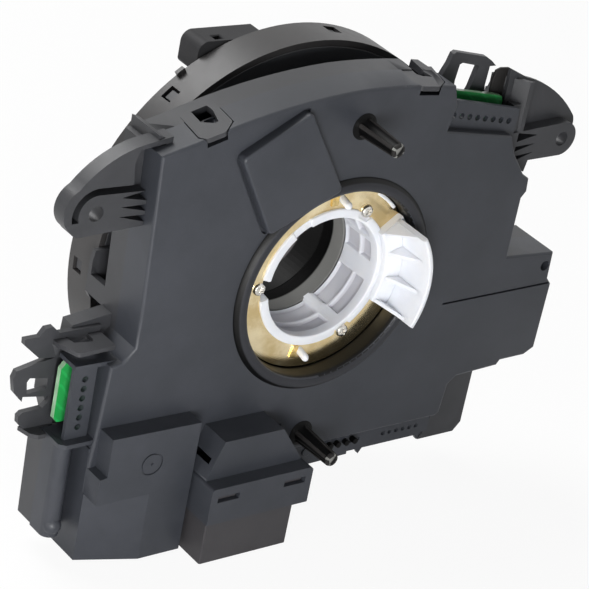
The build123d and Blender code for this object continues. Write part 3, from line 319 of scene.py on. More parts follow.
# %% Metals of the disc, the screws and the contacts
def turned_metal(name, dark, pale, rough, pitch):
    """Metal turned round the steering axis: rings from a sine of the radius, blurred by noise."""
    made = Finish(name, Metallic=1.0)
    spot, (x, _, z) = made.place()
    radius = (x * x + z * z) ** 0.5
    cloud = made.noise(spot, 90.0, 5.0, 0.6)
    rings = (radius * (tau / pitch) + cloud * 2.0).sine() * 0.5 + 0.5
    fine = made.noise(spot, 2600.0, 2.0)
    tone = made.mix(cloud.step(0.35, 0.68), dark, pale)
    made.set(Base_Color=tone, Roughness=(rough + (cloud - 0.5) * 0.22 + rings * 0.05).clip())
    made.set(Normal=made.bump(rings * 0.6 + fine * 0.4, 0.25, 0.00003))
    return made.material


def plated(name, dark, pale, rough):
    """Plated steel: small tone changes and scratches."""
    made = Finish(name, Metallic=1.0)
    spot, _ = made.place()
    cloud = made.noise(spot, 900.0, 4.0)
    scratch = made.noise(made.stretch(spot, (900.0, 5200.0, 2400.0), (0.3, 0.2, 0.5)), 1.0, 2.0)
    tone = made.mix(cloud.step(0.3, 0.7), dark, pale)
    made.set(Base_Color=tone, Roughness=(rough + (cloud - 0.5) * 0.2).clip())
    made.set(Normal=made.bump(scratch, 0.2, 0.00004))
    return made.material


small_finishes.update({
    "polished_brass": turned_metal("polished_brass", (0.74, 0.57, 0.29), (0.98, 0.84, 0.55), 0.15, 0.00042),
    "spring_gold": plated("spring_gold", (0.62, 0.42, 0.14), (0.85, 0.66, 0.30), 0.24),
    "screw_steel": plated("screw_steel", (0.62, 0.60, 0.56), (0.86, 0.84, 0.80), 0.2),
    "contact_metal": plated("contact_metal", (0.55, 0.50, 0.38), (0.78, 0.72, 0.56), 0.3),
    "capacitor_metal": plated("capacitor_metal", (0.50, 0.51, 0.53), (0.68, 0.69, 0.71), 0.35),
})
print("made", list(small_finishes))

# %% [markdown]
# ## Board and films
#
# The board is green resist over glass cloth, with the pale cut edge of the laminate.  A face that doesn't
# look along Y is a cut edge, so the surface normal says where the pale colour goes, and no second material
# is needed.  The wound ribbon and the slide ring are glossy film with fine lines along them.


# %% The circuit board, the ribbon and the slide ring
def circuit_board():
    """Green resist with the weave of the glass cloth under it, faint copper tracks and pale cut edges."""
    made = Finish("board_green", Coat_Weight=0.4, Coat_Roughness=0.15)
    spot, (x, y, z) = made.place()
    weave = (x * 9000.0).sine() * (z * 9000.0).sine() * 0.5 + 0.5
    tracks = ((x + z) * 1400.0 + made.noise(spot, 60.0) * 12.0).sine().step(0.72, 0.86)
    grain = made.noise(spot, 1500.0, 2.0)
    tone = made.mix(tracks * 0.6, (0.006, 0.270, 0.050), (0.014, 0.400, 0.090))
    tone = made.mix(weave * 0.2 + grain * 0.1, tone, (0.060, 0.330, 0.100))
    normal = made.node("ShaderNodeNewGeometry")[3]
    across = made.node("ShaderNodeSeparateXYZ", None, {0: normal})[1].size()
    tone = made.mix(1 - across.step(0.5, 0.9), tone, (0.26, 0.44, 0.27))
    made.set(Base_Color=tone, Roughness=0.32 + grain * 0.1, Normal=made.bump(weave + tracks, 0.25, 0.00004))
    return made.material


def film(name, dark, pale):
    """Glossy plastic film with fine lines along it."""
    made = Finish(name, Coat_Weight=0.3)
    spot, (_, y, _) = made.place()
    lines = (y * 5200.0).sine() * 0.5 + 0.5
    cloud = made.noise(spot, 160.0)
    made.set(Base_Color=made.mix(lines * 0.7 + cloud * 0.3, dark, pale), Roughness=0.3 + cloud * 0.1)
    made.set(Normal=made.bump(lines, 0.2, 0.00005))
    return made.material


small_finishes.update({
    "board_green": circuit_board(),
    "ribbon_film": film("ribbon_film", (0.42, 0.20, 0.06), (0.66, 0.40, 0.16)),
    "slide_film": film("slide_film", (0.60, 0.60, 0.58), (0.72, 0.72, 0.70)),
})
finishes = {**plastics, **small_finishes}
print("finishes", len(finishes))

# %% [markdown]
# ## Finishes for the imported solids
#
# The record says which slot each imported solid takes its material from, so that table is all that is needed
# to put the finishes on.  Small and inner solids are shown as they are.  The large moulded ones get soft
# edges in the next step, and the round ones are worked out again after it.

# %% Put the finishes on the solids
slots = {part["node"]: part["material_slot"] for part in frame["record"]["subparts"]}
for node, solid in frame["nodes"].items():
    solid.data.materials.clear()
    solid.data.materials.append(finishes[slots[node]])
print("dressed", len(slots), "solids")

# %% [markdown]
# ## Soft edges for the moulded solids
#
# A moulded edge is never sharp: it catches a thin line of light, and that line is most of what makes black
# plastic readable.  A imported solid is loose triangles, so a copy is merged, its flat faces are joined again,
# and a Bevel modifier rounds what is left.  The copy stands for the solid, which stays for the physics.
#
# A bevel that is wider than the edges beside it folds over itself, so only outer corners with room on both
# sides are rounded.  Large faces that meet at a small angle keep a crisp line, as on the tilted facets of
# the left plug block, and all other small angles, such as the steps of a fillet, are shaded smooth.


# %% Round the edges of the moulded solids
def body_of(node):
    """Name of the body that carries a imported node."""
    bodies = frame["record"]["behaviour"]["bodies"]
    return [body for body, members in bodies.items() if node in members][0]


CORNER = radians(32.0)  # angle from which an edge is a corner
CREASE = radians(4.5)  # angle from which two large faces keep a crisp line
LARGE_FACE = 2e-5  # square metres


def soften(node, width):
    """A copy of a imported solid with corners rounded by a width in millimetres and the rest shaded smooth."""
    solid = frame["nodes"][node]
    mesh = bmesh.new()
    mesh.from_mesh(solid.data)
    bmesh.ops.remove_doubles(mesh, verts=mesh.verts, dist=1e-6)
    bmesh.ops.dissolve_limit(mesh, angle_limit=radians(0.5), verts=mesh.verts, edges=mesh.edges)
    weight = mesh.edges.layers.float.new("bevel_weight_edge")
    for edge in mesh.edges:
        angle = edge.calc_face_angle(pi)
        large = min(face.calc_area() for face in edge.link_faces) > LARGE_FACE
        edge.smooth = angle < CORNER and not (large and angle > CREASE)
        room = min(near.calc_length() for corner in edge.verts for near in corner.link_edges)
        edge[weight] = float(angle > CORNER and edge.is_convex and room > 3.0 * width * MM)
    data = bpy.data.meshes.new("soft_" + node)
    mesh.to_mesh(data)
    mesh.free()
    data.materials.append(finishes[slots[node]])
    data.polygons.foreach_set("use_smooth", np.ones(len(data.polygons), bool))
    piece = bpy.data.objects.new("soft_" + node, data)
    bpy.context.scene.collection.objects.link(piece)
    bevel = piece.modifiers.new("Round edges", "BEVEL")
    bevel.width, bevel.segments, bevel.limit_method = width * MM, 2, "WEIGHT"
    bevel.harden_normals = True
    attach(piece, body_of(node))
    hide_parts(node)


EDGE_WIDTHS = {"rear_cover": 0.25, "front_housing": 0.3, "middle_plug_shell": 0.3, "wheel_plug_shell": 0.5,
               "cassette_base": 0.3, "cassette_ring": 0.3, "front_rotor": 0.3, "rear_hub": 0.2}
for node, width in EDGE_WIDTHS.items():
    soften(node, width)
print("softened", sorted(EDGE_WIDTHS))

# %% [markdown]
# ## Round pieces as surfaces from arrays
#
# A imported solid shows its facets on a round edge.  The ring, the disc, the lip and the screws are what the
# eye goes to first, so they are worked out again from their measures.  Each is a grid of points: one
# direction runs round an axis and the other runs along a section, so the surface closes on itself and needs
# no repair.  All measures are millimetres, and depths count from the cover face.

# %% Steps, bands, soft sections and round grids
BASE_ANGLES = np.radians(np.arange(0.0, 360.0, 0.75))


def smooth_step(value, low, high):
    """3t^2 - 2t^3 of the share t of the way from low to high, held between 0 and 1."""
    share = np.clip((np.asarray(value, float) - low) / (high - low), 0.0, 1.0)
    return share * share * (3.0 - 2.0 * share)


def band(value, low, high, edge):
    """1 between low and high and 0 outside, with soft edges of the given width."""
    half = edge / 2
    return smooth_step(value, low - half, low + half) * (1.0 - smooth_step(value, high - half, high + half))


def soft_section(corners, cut, steps=5):
    """Closed section with a parabola at each corner, from the distance cut before it to the same after it.

    A point of a parabola is (1 - t)^2 start + 2 t (1 - t) corner + t^2 end."""
    corners = np.asarray(corners, float)
    before = np.roll(corners, 1, 0) - corners
    after = np.roll(corners, -1, 0) - corners
    near = np.minimum(cut, 0.45 * np.linalg.norm(before, axis=1))[:, None]
    far = np.minimum(cut, 0.45 * np.linalg.norm(after, axis=1))[:, None]
    start = corners + before / np.linalg.norm(before, axis=1)[:, None] * near
    end = corners + after / np.linalg.norm(after, axis=1)[:, None] * far
    t = np.linspace(0.0, 1.0, steps)[None, :, None]
    curve = (1 - t) ** 2 * start[:, None] + 2 * t * (1 - t) * corners[:, None] + t ** 2 * end[:, None]
    return curve.reshape(-1, 2)


def round_grid(angles, radius, depth):
    """Points x = r cos a, z = r sin a, y = depth, for arrays of radius and depth over angle and section."""
    angles = angles[:, None]
    whole = np.zeros((len(angles), np.shape(radius)[-1]))
    radius, depth = np.broadcast_arrays(radius, depth, whole)[:2]
    return np.stack([radius * np.cos(angles), depth, radius * np.sin(angles)], -1)


print("points round the axis", len(BASE_ANGLES))

# %% [markdown]
# ## Shells gathered into one mesh
#
# A moulding such as the ring is several closed shells that sink into each other.  Joining them with a
# boolean would leave a ragged seam, and nothing shows where they meet, so they are only gathered.  One class
# collects the shells, turns each the right way round and makes the object that rides with its body.


# %% A shape made of closed shells
class Shape:
    """Closed shells gathered into one mesh.  Each shell is turned so that its volume is positive."""

    def __init__(self):
        self.points, self.faces, self.tints, self.count = [], [], [], 0

    def shell(self, grid, ring=True, tint=None):
        """A grid whose columns close.  Its rows close too if ring is true, and otherwise get two end faces.

        The sign of the sum of a . (b x c) over all faces, from the middle, says which way they look."""
        rows, columns = grid.shape[:2]
        index = np.arange(rows * columns).reshape(rows, columns)
        here = index if ring else index[:-1]
        there = np.roll(index, -1, 0) if ring else index[1:]
        quads = np.stack([here, np.roll(here, -1, 1), np.roll(there, -1, 1), there], -1).reshape(-1, 4)
        ends = [] if ring else [index[0][::-1], index[-1]]
        flat = grid.reshape(-1, 3)
        a, b, c, d = (flat[quads[:, corner]] - flat.mean(0) for corner in range(4))
        volume = np.sum(a * (np.cross(b, c) + np.cross(c, d)))
        if volume < 0:
            quads = quads[:, ::-1]
            ends = [end[::-1] for end in ends]
        self.points.append(flat)
        self.tints.append(np.zeros(len(flat)) if tint is None else np.asarray(tint, float).reshape(-1))
        self.faces += (quads + self.count).tolist() + [(end + self.count).tolist() for end in ends]
        self.count += len(flat)

    def arc_block(self, inner, outer, start, end, top, bottom, cut, step=0.8):
        """Part of a ring with a soft rectangular section, between two angles in degrees."""
        angles = np.radians(np.linspace(start, end, max(3, int(abs(end - start) / step) + 2)))
        section = soft_section([(inner, top), (outer, top), (outer, bottom), (inner, bottom)], cut, 4)
        self.shell(round_grid(angles, section[None, :, 0], section[None, :, 1]), ring=False)

    def turned(self, section, tint=None):
        """A section turned all the way round the steering axis, with a tint for each of its points."""
        grid = round_grid(BASE_ANGLES, section[None, :, 0], section[None, :, 1])
        self.shell(grid, tint=None if tint is None else np.broadcast_to(tint, grid.shape[:2]))

    def stack(self, middle, radius, depth, around, tint=None):
        """Circles of the given radii and depths round an axis along Y through the middle, an x, z pair."""
        x, z = middle
        radius, depth = np.broadcast_arrays(radius, depth, np.zeros((len(depth), len(around))))[:2]
        grid = np.stack([x + radius * np.cos(around), depth, z + radius * np.sin(around)], -1)
        self.shell(grid, ring=False, tint=tint)

    def prism(self, outline, plane, thickness):
        """An outline of pairs on a plane, given by its origin and two directions, thick to both sides."""
        origin, right, up = (np.asarray(part, float) for part in plane)
        normal = np.cross(right, up)
        outline = np.asarray(outline, float)
        flat = origin + outline[:, :1] * right + outline[:, 1:] * up
        self.shell(np.stack([flat - normal * thickness / 2, flat + normal * thickness / 2]), ring=False)

    def place(self, name, node, replaces=True, bevel=0.0, sharp=35.0, finish=None):
        """The finished piece: it rides with its node's body, takes its finish and may stand for it."""
        points = (np.concatenate(self.points) + (0.0, FACE, 0.0)) * MM
        data = bpy.data.meshes.new(name)
        data.from_pydata(points, [], self.faces)
        data.attributes.new("tint", "FLOAT", "POINT").data.foreach_set("value", np.concatenate(self.tints))
        data.materials.append(finishes[finish or slots[node]])
        data.shade_smooth()
        data.set_sharp_from_angle(angle=radians(sharp))
        piece = bpy.data.objects.new(name, data)
        bpy.context.scene.collection.objects.link(piece)
        if bevel:
            edge = piece.modifiers.new("Soft edge", "BEVEL")
            edge.width, edge.segments, edge.limit_method = bevel * MM, 3, "ANGLE"
            edge.angle_limit, edge.harden_normals = radians(40.0), True
        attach(piece, body_of(node))
        if replaces:
            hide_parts(node)
        print(name, "faces", len(self.faces))


print("shapes can be made")

# %% [markdown]
# ## The white ring
#
# The ring is one moulding: a raised rim, an inner wall that goes down into the sleeve, and a curved shield
# on a flange with four gussets.  Its inner wall carries a pattern of shallow panels between stout axial
# ribs, with one thin ridge round the middle.  The panels are a drop in radius over a grid of angle and
# depth, so the wall stays one closed surface.  The panels and, more faintly, the whole inner wall get painted
# shade: the same pattern is kept as a tint on the points, and the material greys the nylon by it.

# %% Measures and patterns of the white ring
BORE, RIM, SLEEVE, SLEEVE_END, RING_TOP = 19.3, 22.2, 21.6, 20.0, 3.8
DISC_TOP = 4.5
# the inner wall's tint share below is painted shade, which the panels get in full
PANEL_DROP, RIB_RISE, RIB_LENGTH, WALL_PAINTED_SHADE, CUT_FLOOR = 1.15, 0.45, 1.3, 0.14, 9.5
RIB_ANGLES = (300.0, 240.0)
WALL_PANELS = [(-54.0, -17.0), (-118.0, -66.0), (2.0, 21.0), (28.0, 52.0), (66.0, 112.0), (126.0, 170.0),
               (-172.0, -128.0)]


def wall_panels(angle, depth):
    """Depth of the panels: bands of angle times two bands of depth, so that a ridge stays between them."""
    turned = (angle + 180.0) % 360.0 - 180.0
    columns = sum(band(turned, low, high, 1.8) for low, high in WALL_PANELS)
    return columns * (band(depth, 7.3, 11.9, 0.5) + 0.75 * band(depth, 12.9, 19.0, 0.6))


def rim_drop(angle):
    """How far the rim is lowered: a step between two angles and a cut beside the left screw."""
    return 0.65 * band(angle, 114.0, 131.0, 0.8) + 5.0 * band(angle, 175.0, 190.0, 2.5)


def rim_edge(angle):
    """Outer radius of the rim: it draws in round each of the three screw heads."""
    return RIM - 2.0 * band(angle % 120.0, 53.0, 67.0, 3.0)


def rib_bands(angle):
    """1 at the middle of each axial rib, falling to 0 at its sides."""
    return sum(band((angle - middle + 180.0) % 360.0 - 180.0, -4.6, 4.6, 4.0) for middle in RIB_ANGLES)


print("panels", len(WALL_PANELS), "ribs", len(RIB_ANGLES))

# %% Inner wall, rim and sleeve of the white ring
column_ring = Shape()
WALL_ROWS = 72
wall_depths = np.linspace(SLEEVE_END - 0.5, 5.2, WALL_ROWS)
rim_corner = soft_section([(BORE, 5.0), (BORE, RING_TOP), (RIM, RING_TOP), (RIM, 5.0)], 0.45)[5:15]
sleeve_side = [(RIM, DISC_TOP + 0.4), (SLEEVE, DISC_TOP + 0.6), (SLEEVE, SLEEVE_END - 0.4),
               (SLEEVE - 0.4, SLEEVE_END), (BORE + 0.6, SLEEVE_END)]
section = np.concatenate([rim_corner, sleeve_side, np.stack([np.full(WALL_ROWS, BORE), wall_depths], -1)])
angle = np.degrees(BASE_ANGLES)[:, None]
radius, depth = (np.tile(section[:, column], (len(angle), 1)) for column in (0, 1))
inside = radius < BORE + 0.05
rim_top = (depth < 4.6) & (radius > 20.6)
panels = wall_panels(angle, depth) * inside
depth = np.where(depth < DISC_TOP + 0.45, np.minimum(depth + rim_drop(angle), CUT_FLOOR), depth)
depth = np.where(inside, np.maximum(depth, RING_TOP + rim_drop(angle)), depth)
radius = np.where(rim_top, np.minimum(radius, rim_edge(angle)), radius)
ribs = rib_bands(angle)
radius = radius + PANEL_DROP * panels - RIB_RISE * ribs * inside * smooth_step(depth, 11.5, 14.0)
depth = depth + RIB_LENGTH * ribs * smooth_step(depth, 17.5, SLEEVE_END)
# painted shade: full in the panels, a small share on the whole inner wall
shade = np.clip(panels + WALL_PAINTED_SHADE * inside, 0.0, 1.0)
column_ring.shell(round_grid(BASE_ANGLES, radius, depth), tint=shade)
print("ring points", column_ring.count)

# %% Shield, flange and gussets of the white ring
SHIELD, SHIELD_WALL, SHIELD_TIP, FLANGE, FLANGE_EDGE = 27.0, 1.5, -10.9, 1.8, (20.9, 29.5)
SHIELD_SPAN = (-28.0, 36.0)
GUSSET_ANGLES, GUSSET_WALL, GUSSET_TIP = (SHIELD_SPAN[0] + 1.5, -7.0, 14.5, SHIELD_SPAN[1] - 1.5), 1.0, -8.2
column_ring.arc_block(SHIELD, SHIELD + SHIELD_WALL, *SHIELD_SPAN, SHIELD_TIP, FLANGE + 0.6, 0.45)
column_ring.arc_block(*FLANGE_EDGE, *SHIELD_SPAN, FLANGE, DISC_TOP - 0.02, 0.5)
gusset = [(SHIELD + 0.4, GUSSET_TIP), (SHIELD + 0.4, FLANGE + 0.3), (RIM - 0.4, FLANGE + 0.3),
          (RIM - 0.2, FLANGE - 0.3)]
for gusset_angle in GUSSET_ANGLES:
    outward = (cos(radians(gusset_angle)), 0.0, sin(radians(gusset_angle)))
    column_ring.prism(gusset, ((0, 0, 0), outward, (0, 1, 0)), GUSSET_WALL)
column_ring.place("column_ring", "cancel_ring", bevel=0.12)

# %% [markdown]
# ## Disc and lip
#
# The disc is thin and mirror-like: what one sees in it is mostly what stands round it, the bright table on
# the left and the black wall of the opening on the right.  The lip round the opening is a soft roll of the
# cover's plastic, in a darker and less glossy copy of it that paints shade on the whole lip.  Its inner wall
# and its foot lie in shadow on the real one, so a tint on the points of the section paints them black.

# %% Disc with soft edges, and the lip of the opening
DISC_EDGE, DISC_BACK = 29.6, DISC_TOP + 0.8
disc = Shape()
disc.turned(soft_section([(SLEEVE + 0.2, DISC_TOP), (DISC_EDGE, DISC_TOP), (DISC_EDGE, DISC_BACK),
                          (SLEEVE + 0.2, DISC_BACK)], 0.2))
disc.place("polished_disc", "brass_disc")
lip = Shape()
lip_section = soft_section([(29.9, 5.2), (29.9, -0.6), (30.9, -1.85), (32.7, -1.85), (34.2, -0.5),
                            (34.4, 0.3), (31.5, 5.2)], 0.9)
# painted shade: every point off the crown, on the inner wall and the foot, is tinted black
crown = band(lip_section[:, 0], 30.6, 33.1, 0.5) * (lip_section[:, 1] < 0.0)
lip.turned(lip_section, tint=1.0 - crown)
lip.place("opening_lip", "rear_cover", replaces=False, finish="lip_plastic")

# %% [markdown]
# ## Screws, leaf springs and white posts
#
# Three pan head screws hold the disc.  A head is a dome worked out over a polar grid, with the cross pressed
# into it as a drop in height where the point lies near one of two axes.  Two gilt leaves press on the disc,
# and a white post of the ring stands beside each.

# %% Dome heads with a pressed cross
SCREW_CIRCLE, SCREW_ANGLES, HEAD, HEAD_TOP = 22.9, (60.0, 180.0, 300.0), 2.0, 3.2
HEAD_RISE, HEAD_ROLL, CROSS_DEPTH, SHANK_LENGTH = 0.55, 0.55, 0.75, 3.0


def screw_head(shape, angle, twist):
    """Depth over the polar grid: top + rise share^2 + a roll at the edge + the cross near two axes."""
    dome = np.linspace(0.02, 1.0, 22)
    share = np.concatenate([dome, [1.0, 1.0]])[:, None]
    around = np.radians(np.arange(0.0, 360.0, 5.0))[None, :]
    x, z = HEAD * share * np.cos(around), HEAD * share * np.sin(around)
    arm = np.minimum(np.abs(x * cos(twist) + z * sin(twist)), np.abs(z * cos(twist) - x * sin(twist)))
    cross = (1.0 - smooth_step(arm, 0.16, 0.34)) * (1.0 - smooth_step(share * HEAD, 0.85, 1.15))
    roll = smooth_step(share, 0.86, 1.0)
    depth = HEAD_TOP + HEAD_RISE * share ** 2 + HEAD_ROLL * roll + CROSS_DEPTH * cross
    depth[len(dome)] = DISC_TOP - 0.02
    depth[len(dome) + 1] += SHANK_LENGTH
    grid = np.stack([SCREW_CIRCLE * cos(angle) + x, depth, SCREW_CIRCLE * sin(angle) + z], -1)
    shape.shell(grid, ring=False)


screws = Shape()
for number, angle in enumerate(SCREW_ANGLES):
    screw_head(screws, radians(angle), 0.5 + 0.7 * number)
screws.place("disc_screw_heads", "disc_screws", sharp=50.0)

# %% Leaf springs, white posts and the white strip at the edge of the disc
POST_REACH, POST_LEAN, POST_WIDTH, POST_DOME = 4.3, -0.9, 1.15, 0.7
POST_PLACES = [(1.4, 25.3), (-3.2, -23.9)]
LEAVES = [(23.4, 27.0, 90.0, 95.5), (22.6, 26.4, -105.0, -100.0)]  # inner and outer radius, two angles
STRIP, STRIP_TOP = (28.5, 29.55, 43.0, 60.0), 3.6


def post(shape, x, z):
    """A leaning post with a domed tip: circles whose radius falls as sqrt(1 - t^2) over the dome."""
    along = np.concatenate([np.linspace(-0.1, POST_DOME, 8), np.linspace(0.74, 0.998, 9)])[:, None]
    dome = np.sqrt(1.0 - np.clip((along - POST_DOME) / (1.0 - POST_DOME), 0.0, 1.0) ** 2)
    around = np.radians(np.arange(0.0, 360.0, 12.0))
    shape.stack((x, z + POST_LEAN * along), POST_WIDTH * dome, DISC_TOP - POST_REACH * along, around)


leaves = Shape()
for leaf in LEAVES:
    leaves.arc_block(*leaf, DISC_TOP - 0.45, DISC_TOP - 0.02, 0.15, 0.6)
leaves.place("leaf_springs", "contact_springs")
tabs = Shape()
for post_x, post_z in POST_PLACES:
    post(tabs, post_x, post_z)
tabs.arc_block(*STRIP, STRIP_TOP, DISC_TOP + 0.3, 0.4)
tabs.place("white_tabs", "cancel_ring", replaces=False)

# %% [markdown]
# ## Guide pins
#
# Two tapered pins stand out of the cover, above and below the opening.  Each has four long grooves, a flared
# foot that is a black skirt of painted shadow, and pale painted highlights on the ridges of its tip.  The
# radius is a function of the angle round the pin and of the depth, so a pin is one closed surface, and the
# tint that paints black shade into the grooves is the same function.

# %% Fluted guide pins
PIN_HEIGHT, PIN_RADIUS, PIN_TIP, PIN_TAPER, PIN_SHADOW_SKIRT, GROOVE = 50.4, 2.95, -16.0, 0.75, 4.1, 0.6
PIN_DEPTHS = [0.3, -0.12, -0.13, -0.3, -0.6, -1.1, -3.0, -6.0, -9.0, -12.0, -14.6, -15.2, -15.3, -15.8,
              PIN_TIP]
PIN_NOSE = (0.2, 0.75)  # how far the last two circles draw in
SHADOW_SKIRT_ROWS, TIP_ROWS, FIRST_RIDGE = 5, 4, 157.0


def guide_pin(shape, height):
    """r = taper(depth) less GROOVE in four grooves, with a foot that flares where the pin meets the case.  The
    tint paints black shade in the grooves and on the foot, and a pale highlight on the tip's ridges.
    """
    depths = np.array(PIN_DEPTHS)
    taper = PIN_RADIUS - PIN_TAPER * (depths / PIN_TIP)
    # the foot is a black skirt flush with the cover: painted shadow round the pin's base
    taper[:SHADOW_SKIRT_ROWS] = [PIN_SHADOW_SKIRT, PIN_SHADOW_SKIRT, PIN_SHADOW_SKIRT - 0.02, PIN_SHADOW_SKIRT - 0.5, PIN_RADIUS + 0.15]
    taper[-2:] -= PIN_NOSE
    around = np.radians(np.arange(0.0, 360.0, 5.0))
    ridge = (np.degrees(around) - FIRST_RIDGE + 45.0) % 90.0 - 45.0
    groove = (1.0 - band(ridge, -15.0, 15.0, 7.0)) * band(depths, -15.0, -0.4, 0.5)[:, None]
    # painted shade in the grooves and on the foot; painted highlight on the tip's ridges, a little shade
    # between them
    tint = groove.copy()
    tint[:SHADOW_SKIRT_ROWS] = 1.0
    tint[-TIP_ROWS:] = 0.3 + 1.7 * band(ridge, -13.0, 13.0, 6.0)
    shape.stack((0.0, height), taper[:, None] - GROOVE * groove, depths[:, None], around, tint)


for name, height in (("upper_guide_pin", PIN_HEIGHT), ("lower_guide_pin", -PIN_HEIGHT)):
    pin = Shape()
    guide_pin(pin, height)
    pin.place("fluted_" + name, name, finish="pin_plastic")

# %% [markdown]
# ## Small walls and dark holes
#
# Three small features of the case are thin or shallow enough to be added here.  A web with a round boss
# closes the corner between the cover, the hood and the bottom comb.  A thin wall joins the right latch frame
# to the right ear.  Four of the comb's holes look wider and blacker than the imported solid makes them, so
# black discs with a flush face paint the shade in them.

# %% Web and boss at the hood
UPRIGHT, SMALL_CIRCLE = ((1, 0, 0), (0, 0, 1)), np.radians(np.arange(0.0, 360.0, 10.0))
WEB_OUTLINE = [(-0.5, -52.4), (12.0, -54.4), (21.0, -55.6), (21.4, -63.6), (5.0, -64.0), (1.0, -61.0),
               (-2.4, -56.2)]
WEB_DEPTH, WEB_WALL, BOSS_PLACE = 4.3, 5.6, (4.9, -59.2)
boss_radius, boss_depth = np.array([[1.5], [1.5], [1.3], [0.4]]), np.array([[1.6], [1.2], [1.0], [1.0]])
web = Shape()
web.prism(WEB_OUTLINE, ((0, WEB_DEPTH, 0), *UPRIGHT), WEB_WALL)
web.stack(BOSS_PLACE, boss_radius, boss_depth, SMALL_CIRCLE)
web.place("lower_web", "rear_cover", replaces=False, bevel=0.3)

# %% Wall beside the right ear
EAR_WALL_OUTLINE = [(55.4, 47.8), (55.1, 50.1), (55.2, 53.4), (55.9, 56.3), (57.7, 56.9), (60.9, 56.6),
                    (65.5, 54.3), (71.5, 51.3), (70.9, 46.6), (69.2, 41.2), (62.1, 42.8)]
EAR_WALL_DEPTH, EAR_WALL_THICKNESS = 10.9, 1.0
ear_wall = Shape()
ear_wall.prism(EAR_WALL_OUTLINE, ((0, EAR_WALL_DEPTH, 0), *UPRIGHT), EAR_WALL_THICKNESS)
# painted shade: this recessed wall takes the darker, duller pin plastic rather than the housing's
ear_wall.place("right_ear_wall", "front_housing", replaces=False, bevel=0.3, finish="pin_plastic")

# %% Painted shade in four holes of the comb
COMB_HOLES, COMB_HEIGHT = (13.3, 16.2, 19.4, 22.6), -58.4
shade_disc_radius, shade_disc_depth = np.array([[0.95], [0.95], [0.8]]), np.array([[2.0], [-0.02], [-0.05]])
comb_hole_shade = Shape()
# black discs flush with the face: painted shade in the holes
for x in COMB_HOLES:
    comb_hole_shade.stack((x, COMB_HEIGHT), shade_disc_radius, shade_disc_depth, SMALL_CIRCLE, np.ones((3, len(SMALL_CIRCLE))))
comb_hole_shade.place("lower_comb_hole_shade", "rear_cover", replaces=False, finish="pin_plastic")

# %% [markdown]
# ## The photographer's table
#
# The photograph is a plain catalogue shot: white all round and soft light from above.  The floor and the
# world are white for the camera, bright in reflections, and lit at a plain level for the object.  The camera
# stands where a solved match of the photograph puts it: a long lens, turned a little about its own axis.

# %% Camera
swing, tilt, roll = radians(-41.449), radians(27.745), radians(-11.453)
back = np.array([sin(swing) * cos(tilt), -cos(swing) * cos(tilt), sin(tilt)])
level = np.array([cos(swing), sin(swing), 0.0])
rise = np.cross(back, level)
across = cos(roll) * level - sin(roll) * rise
upward = sin(roll) * level + cos(roll) * rise
station = np.array([-462.718, -509.047 + FACE, 356.182]) * MM
lens = bpy.data.cameras.new("camera")
lens.lens = 165.22
lens.sensor_width = 36.0
lens.clip_start = 0.05
camera = bpy.data.objects.new("camera", lens)
pose = np.eye(4)
pose[:3, 0], pose[:3, 1], pose[:3, 2], pose[:3, 3] = across, upward, back, station
camera.matrix_world = pose.T
bpy.context.scene.collection.objects.link(camera)
bpy.context.scene.camera = camera
bpy.context.scene.view_settings.view_transform = "Standard"
print("camera", [round(value, 4) for value in camera.matrix_world.translation])


# %% Lamps
def soft_lamp(name, place, aim, size, watts, tint=(1.0, 1.0, 1.0)):
    """A square soft box that looks at a point."""
    lamp = bpy.data.lights.new(name, "AREA")
    lamp.shape, lamp.size, lamp.energy, lamp.color = "SQUARE", size, watts, tint
    thing = bpy.data.objects.new(name, lamp)
    place, aim = np.array(place, float), np.array(aim, float)
    ahead = (aim - place) / np.linalg.norm(aim - place)
    side = np.cross(ahead, (0.0, 0.0, 1.0))
    side /= np.linalg.norm(side)
    stand = np.eye(4)
    stand[:3, 0], stand[:3, 1], stand[:3, 2], stand[:3, 3] = side, np.cross(side, ahead), -ahead, place
    thing.matrix_world = stand.T
    thing.visible_camera = False
    bpy.context.scene.collection.objects.link(thing)
    print("lamp", name, watts, "W")


soft_lamp("above", (-0.20, 0.62, 0.88), (0, 0, 0), 0.7, 11.0)
soft_lamp("left", (-0.95, -0.20, 0.20), (0, 0, 0), 0.5, 1.8, (1.0, 0.97, 0.94))
soft_lamp("front", (-0.27, -0.33, 0.03), (-0.09, 0, -0.06), 0.18, 1.6)

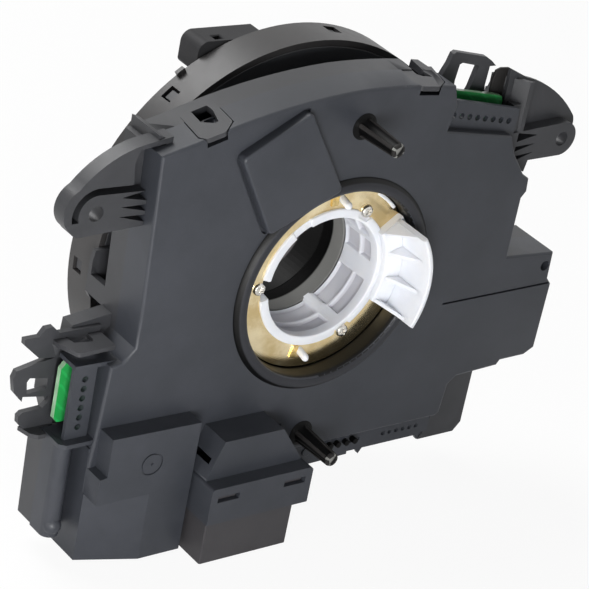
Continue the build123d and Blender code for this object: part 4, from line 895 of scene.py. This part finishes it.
# %% World
AMBIENT, SEEN_WHITE = 0.07, 1.0  # strength of the world for the object, and for the camera and reflections
world = bpy.data.worlds.new("studio")
world.use_nodes = True
bpy.context.scene.world = world
nodes, links = world.node_tree.nodes, world.node_tree.links
sky = nodes["Background"]
path = nodes.new("ShaderNodeLightPath")
seen = nodes.new("ShaderNodeMath")
strength = nodes.new("ShaderNodeMapRange")
seen.operation = "MAXIMUM"
links.new(path.outputs["Is Camera Ray"], seen.inputs[0])
links.new(path.outputs["Is Glossy Ray"], seen.inputs[1])
strength.inputs["To Min"].default_value = AMBIENT
strength.inputs["To Max"].default_value = SEEN_WHITE
links.new(seen.outputs[0], strength.inputs["Value"])
links.new(strength.outputs[0], sky.inputs["Strength"])
sky.inputs["Color"].default_value = (1.0, 1.0, 1.0, 1.0)
print("world", AMBIENT, "for the object and", SEEN_WHITE, "for the camera")

# %% Floor
FLOOR_REACH = 3.0  # metres
CAMERA_SHARE, MIRROR_SHARE = 0.92, 0.3  # how much of the floor is plain white for the camera, and in mirrors
floor_height = cad_box[0][2] - 0.0005
floor_corners = [(x, y, floor_height) for x, y in ((-FLOOR_REACH, -FLOOR_REACH), (FLOOR_REACH, -FLOOR_REACH),
                                                   (FLOOR_REACH, FLOOR_REACH), (-FLOOR_REACH, FLOOR_REACH))]
floor_data = bpy.data.meshes.new("floor")
floor_data.from_pydata(floor_corners, [], [(0, 1, 2, 3)])
floor = bpy.data.objects.new("floor", floor_data)
bpy.context.scene.collection.objects.link(floor)
table = Finish("table_white", Base_Color=(0.95, 0.95, 0.95), Roughness=0.9, Specular_IOR_Level=0.1)
light = table.node("ShaderNodeLightPath")
plain_white = table.node("ShaderNodeEmission", None, {"Color": (1.0, 1.0, 1.0), "Strength": 1.0})[0]
share = (light[0] * CAMERA_SHARE + light[3] * MIRROR_SHARE).clip()
lit = Signal(table, table.shader.outputs[0])
blend = table.node("ShaderNodeMixShader", None, {0: share, 1: lit, 2: plain_white})[0]
table.tree.links.new(blend.socket, table.tree.nodes["Material Output"].inputs["Surface"])
floor_data.materials.append(table.material)
print("floor at", round(floor_height, 5))
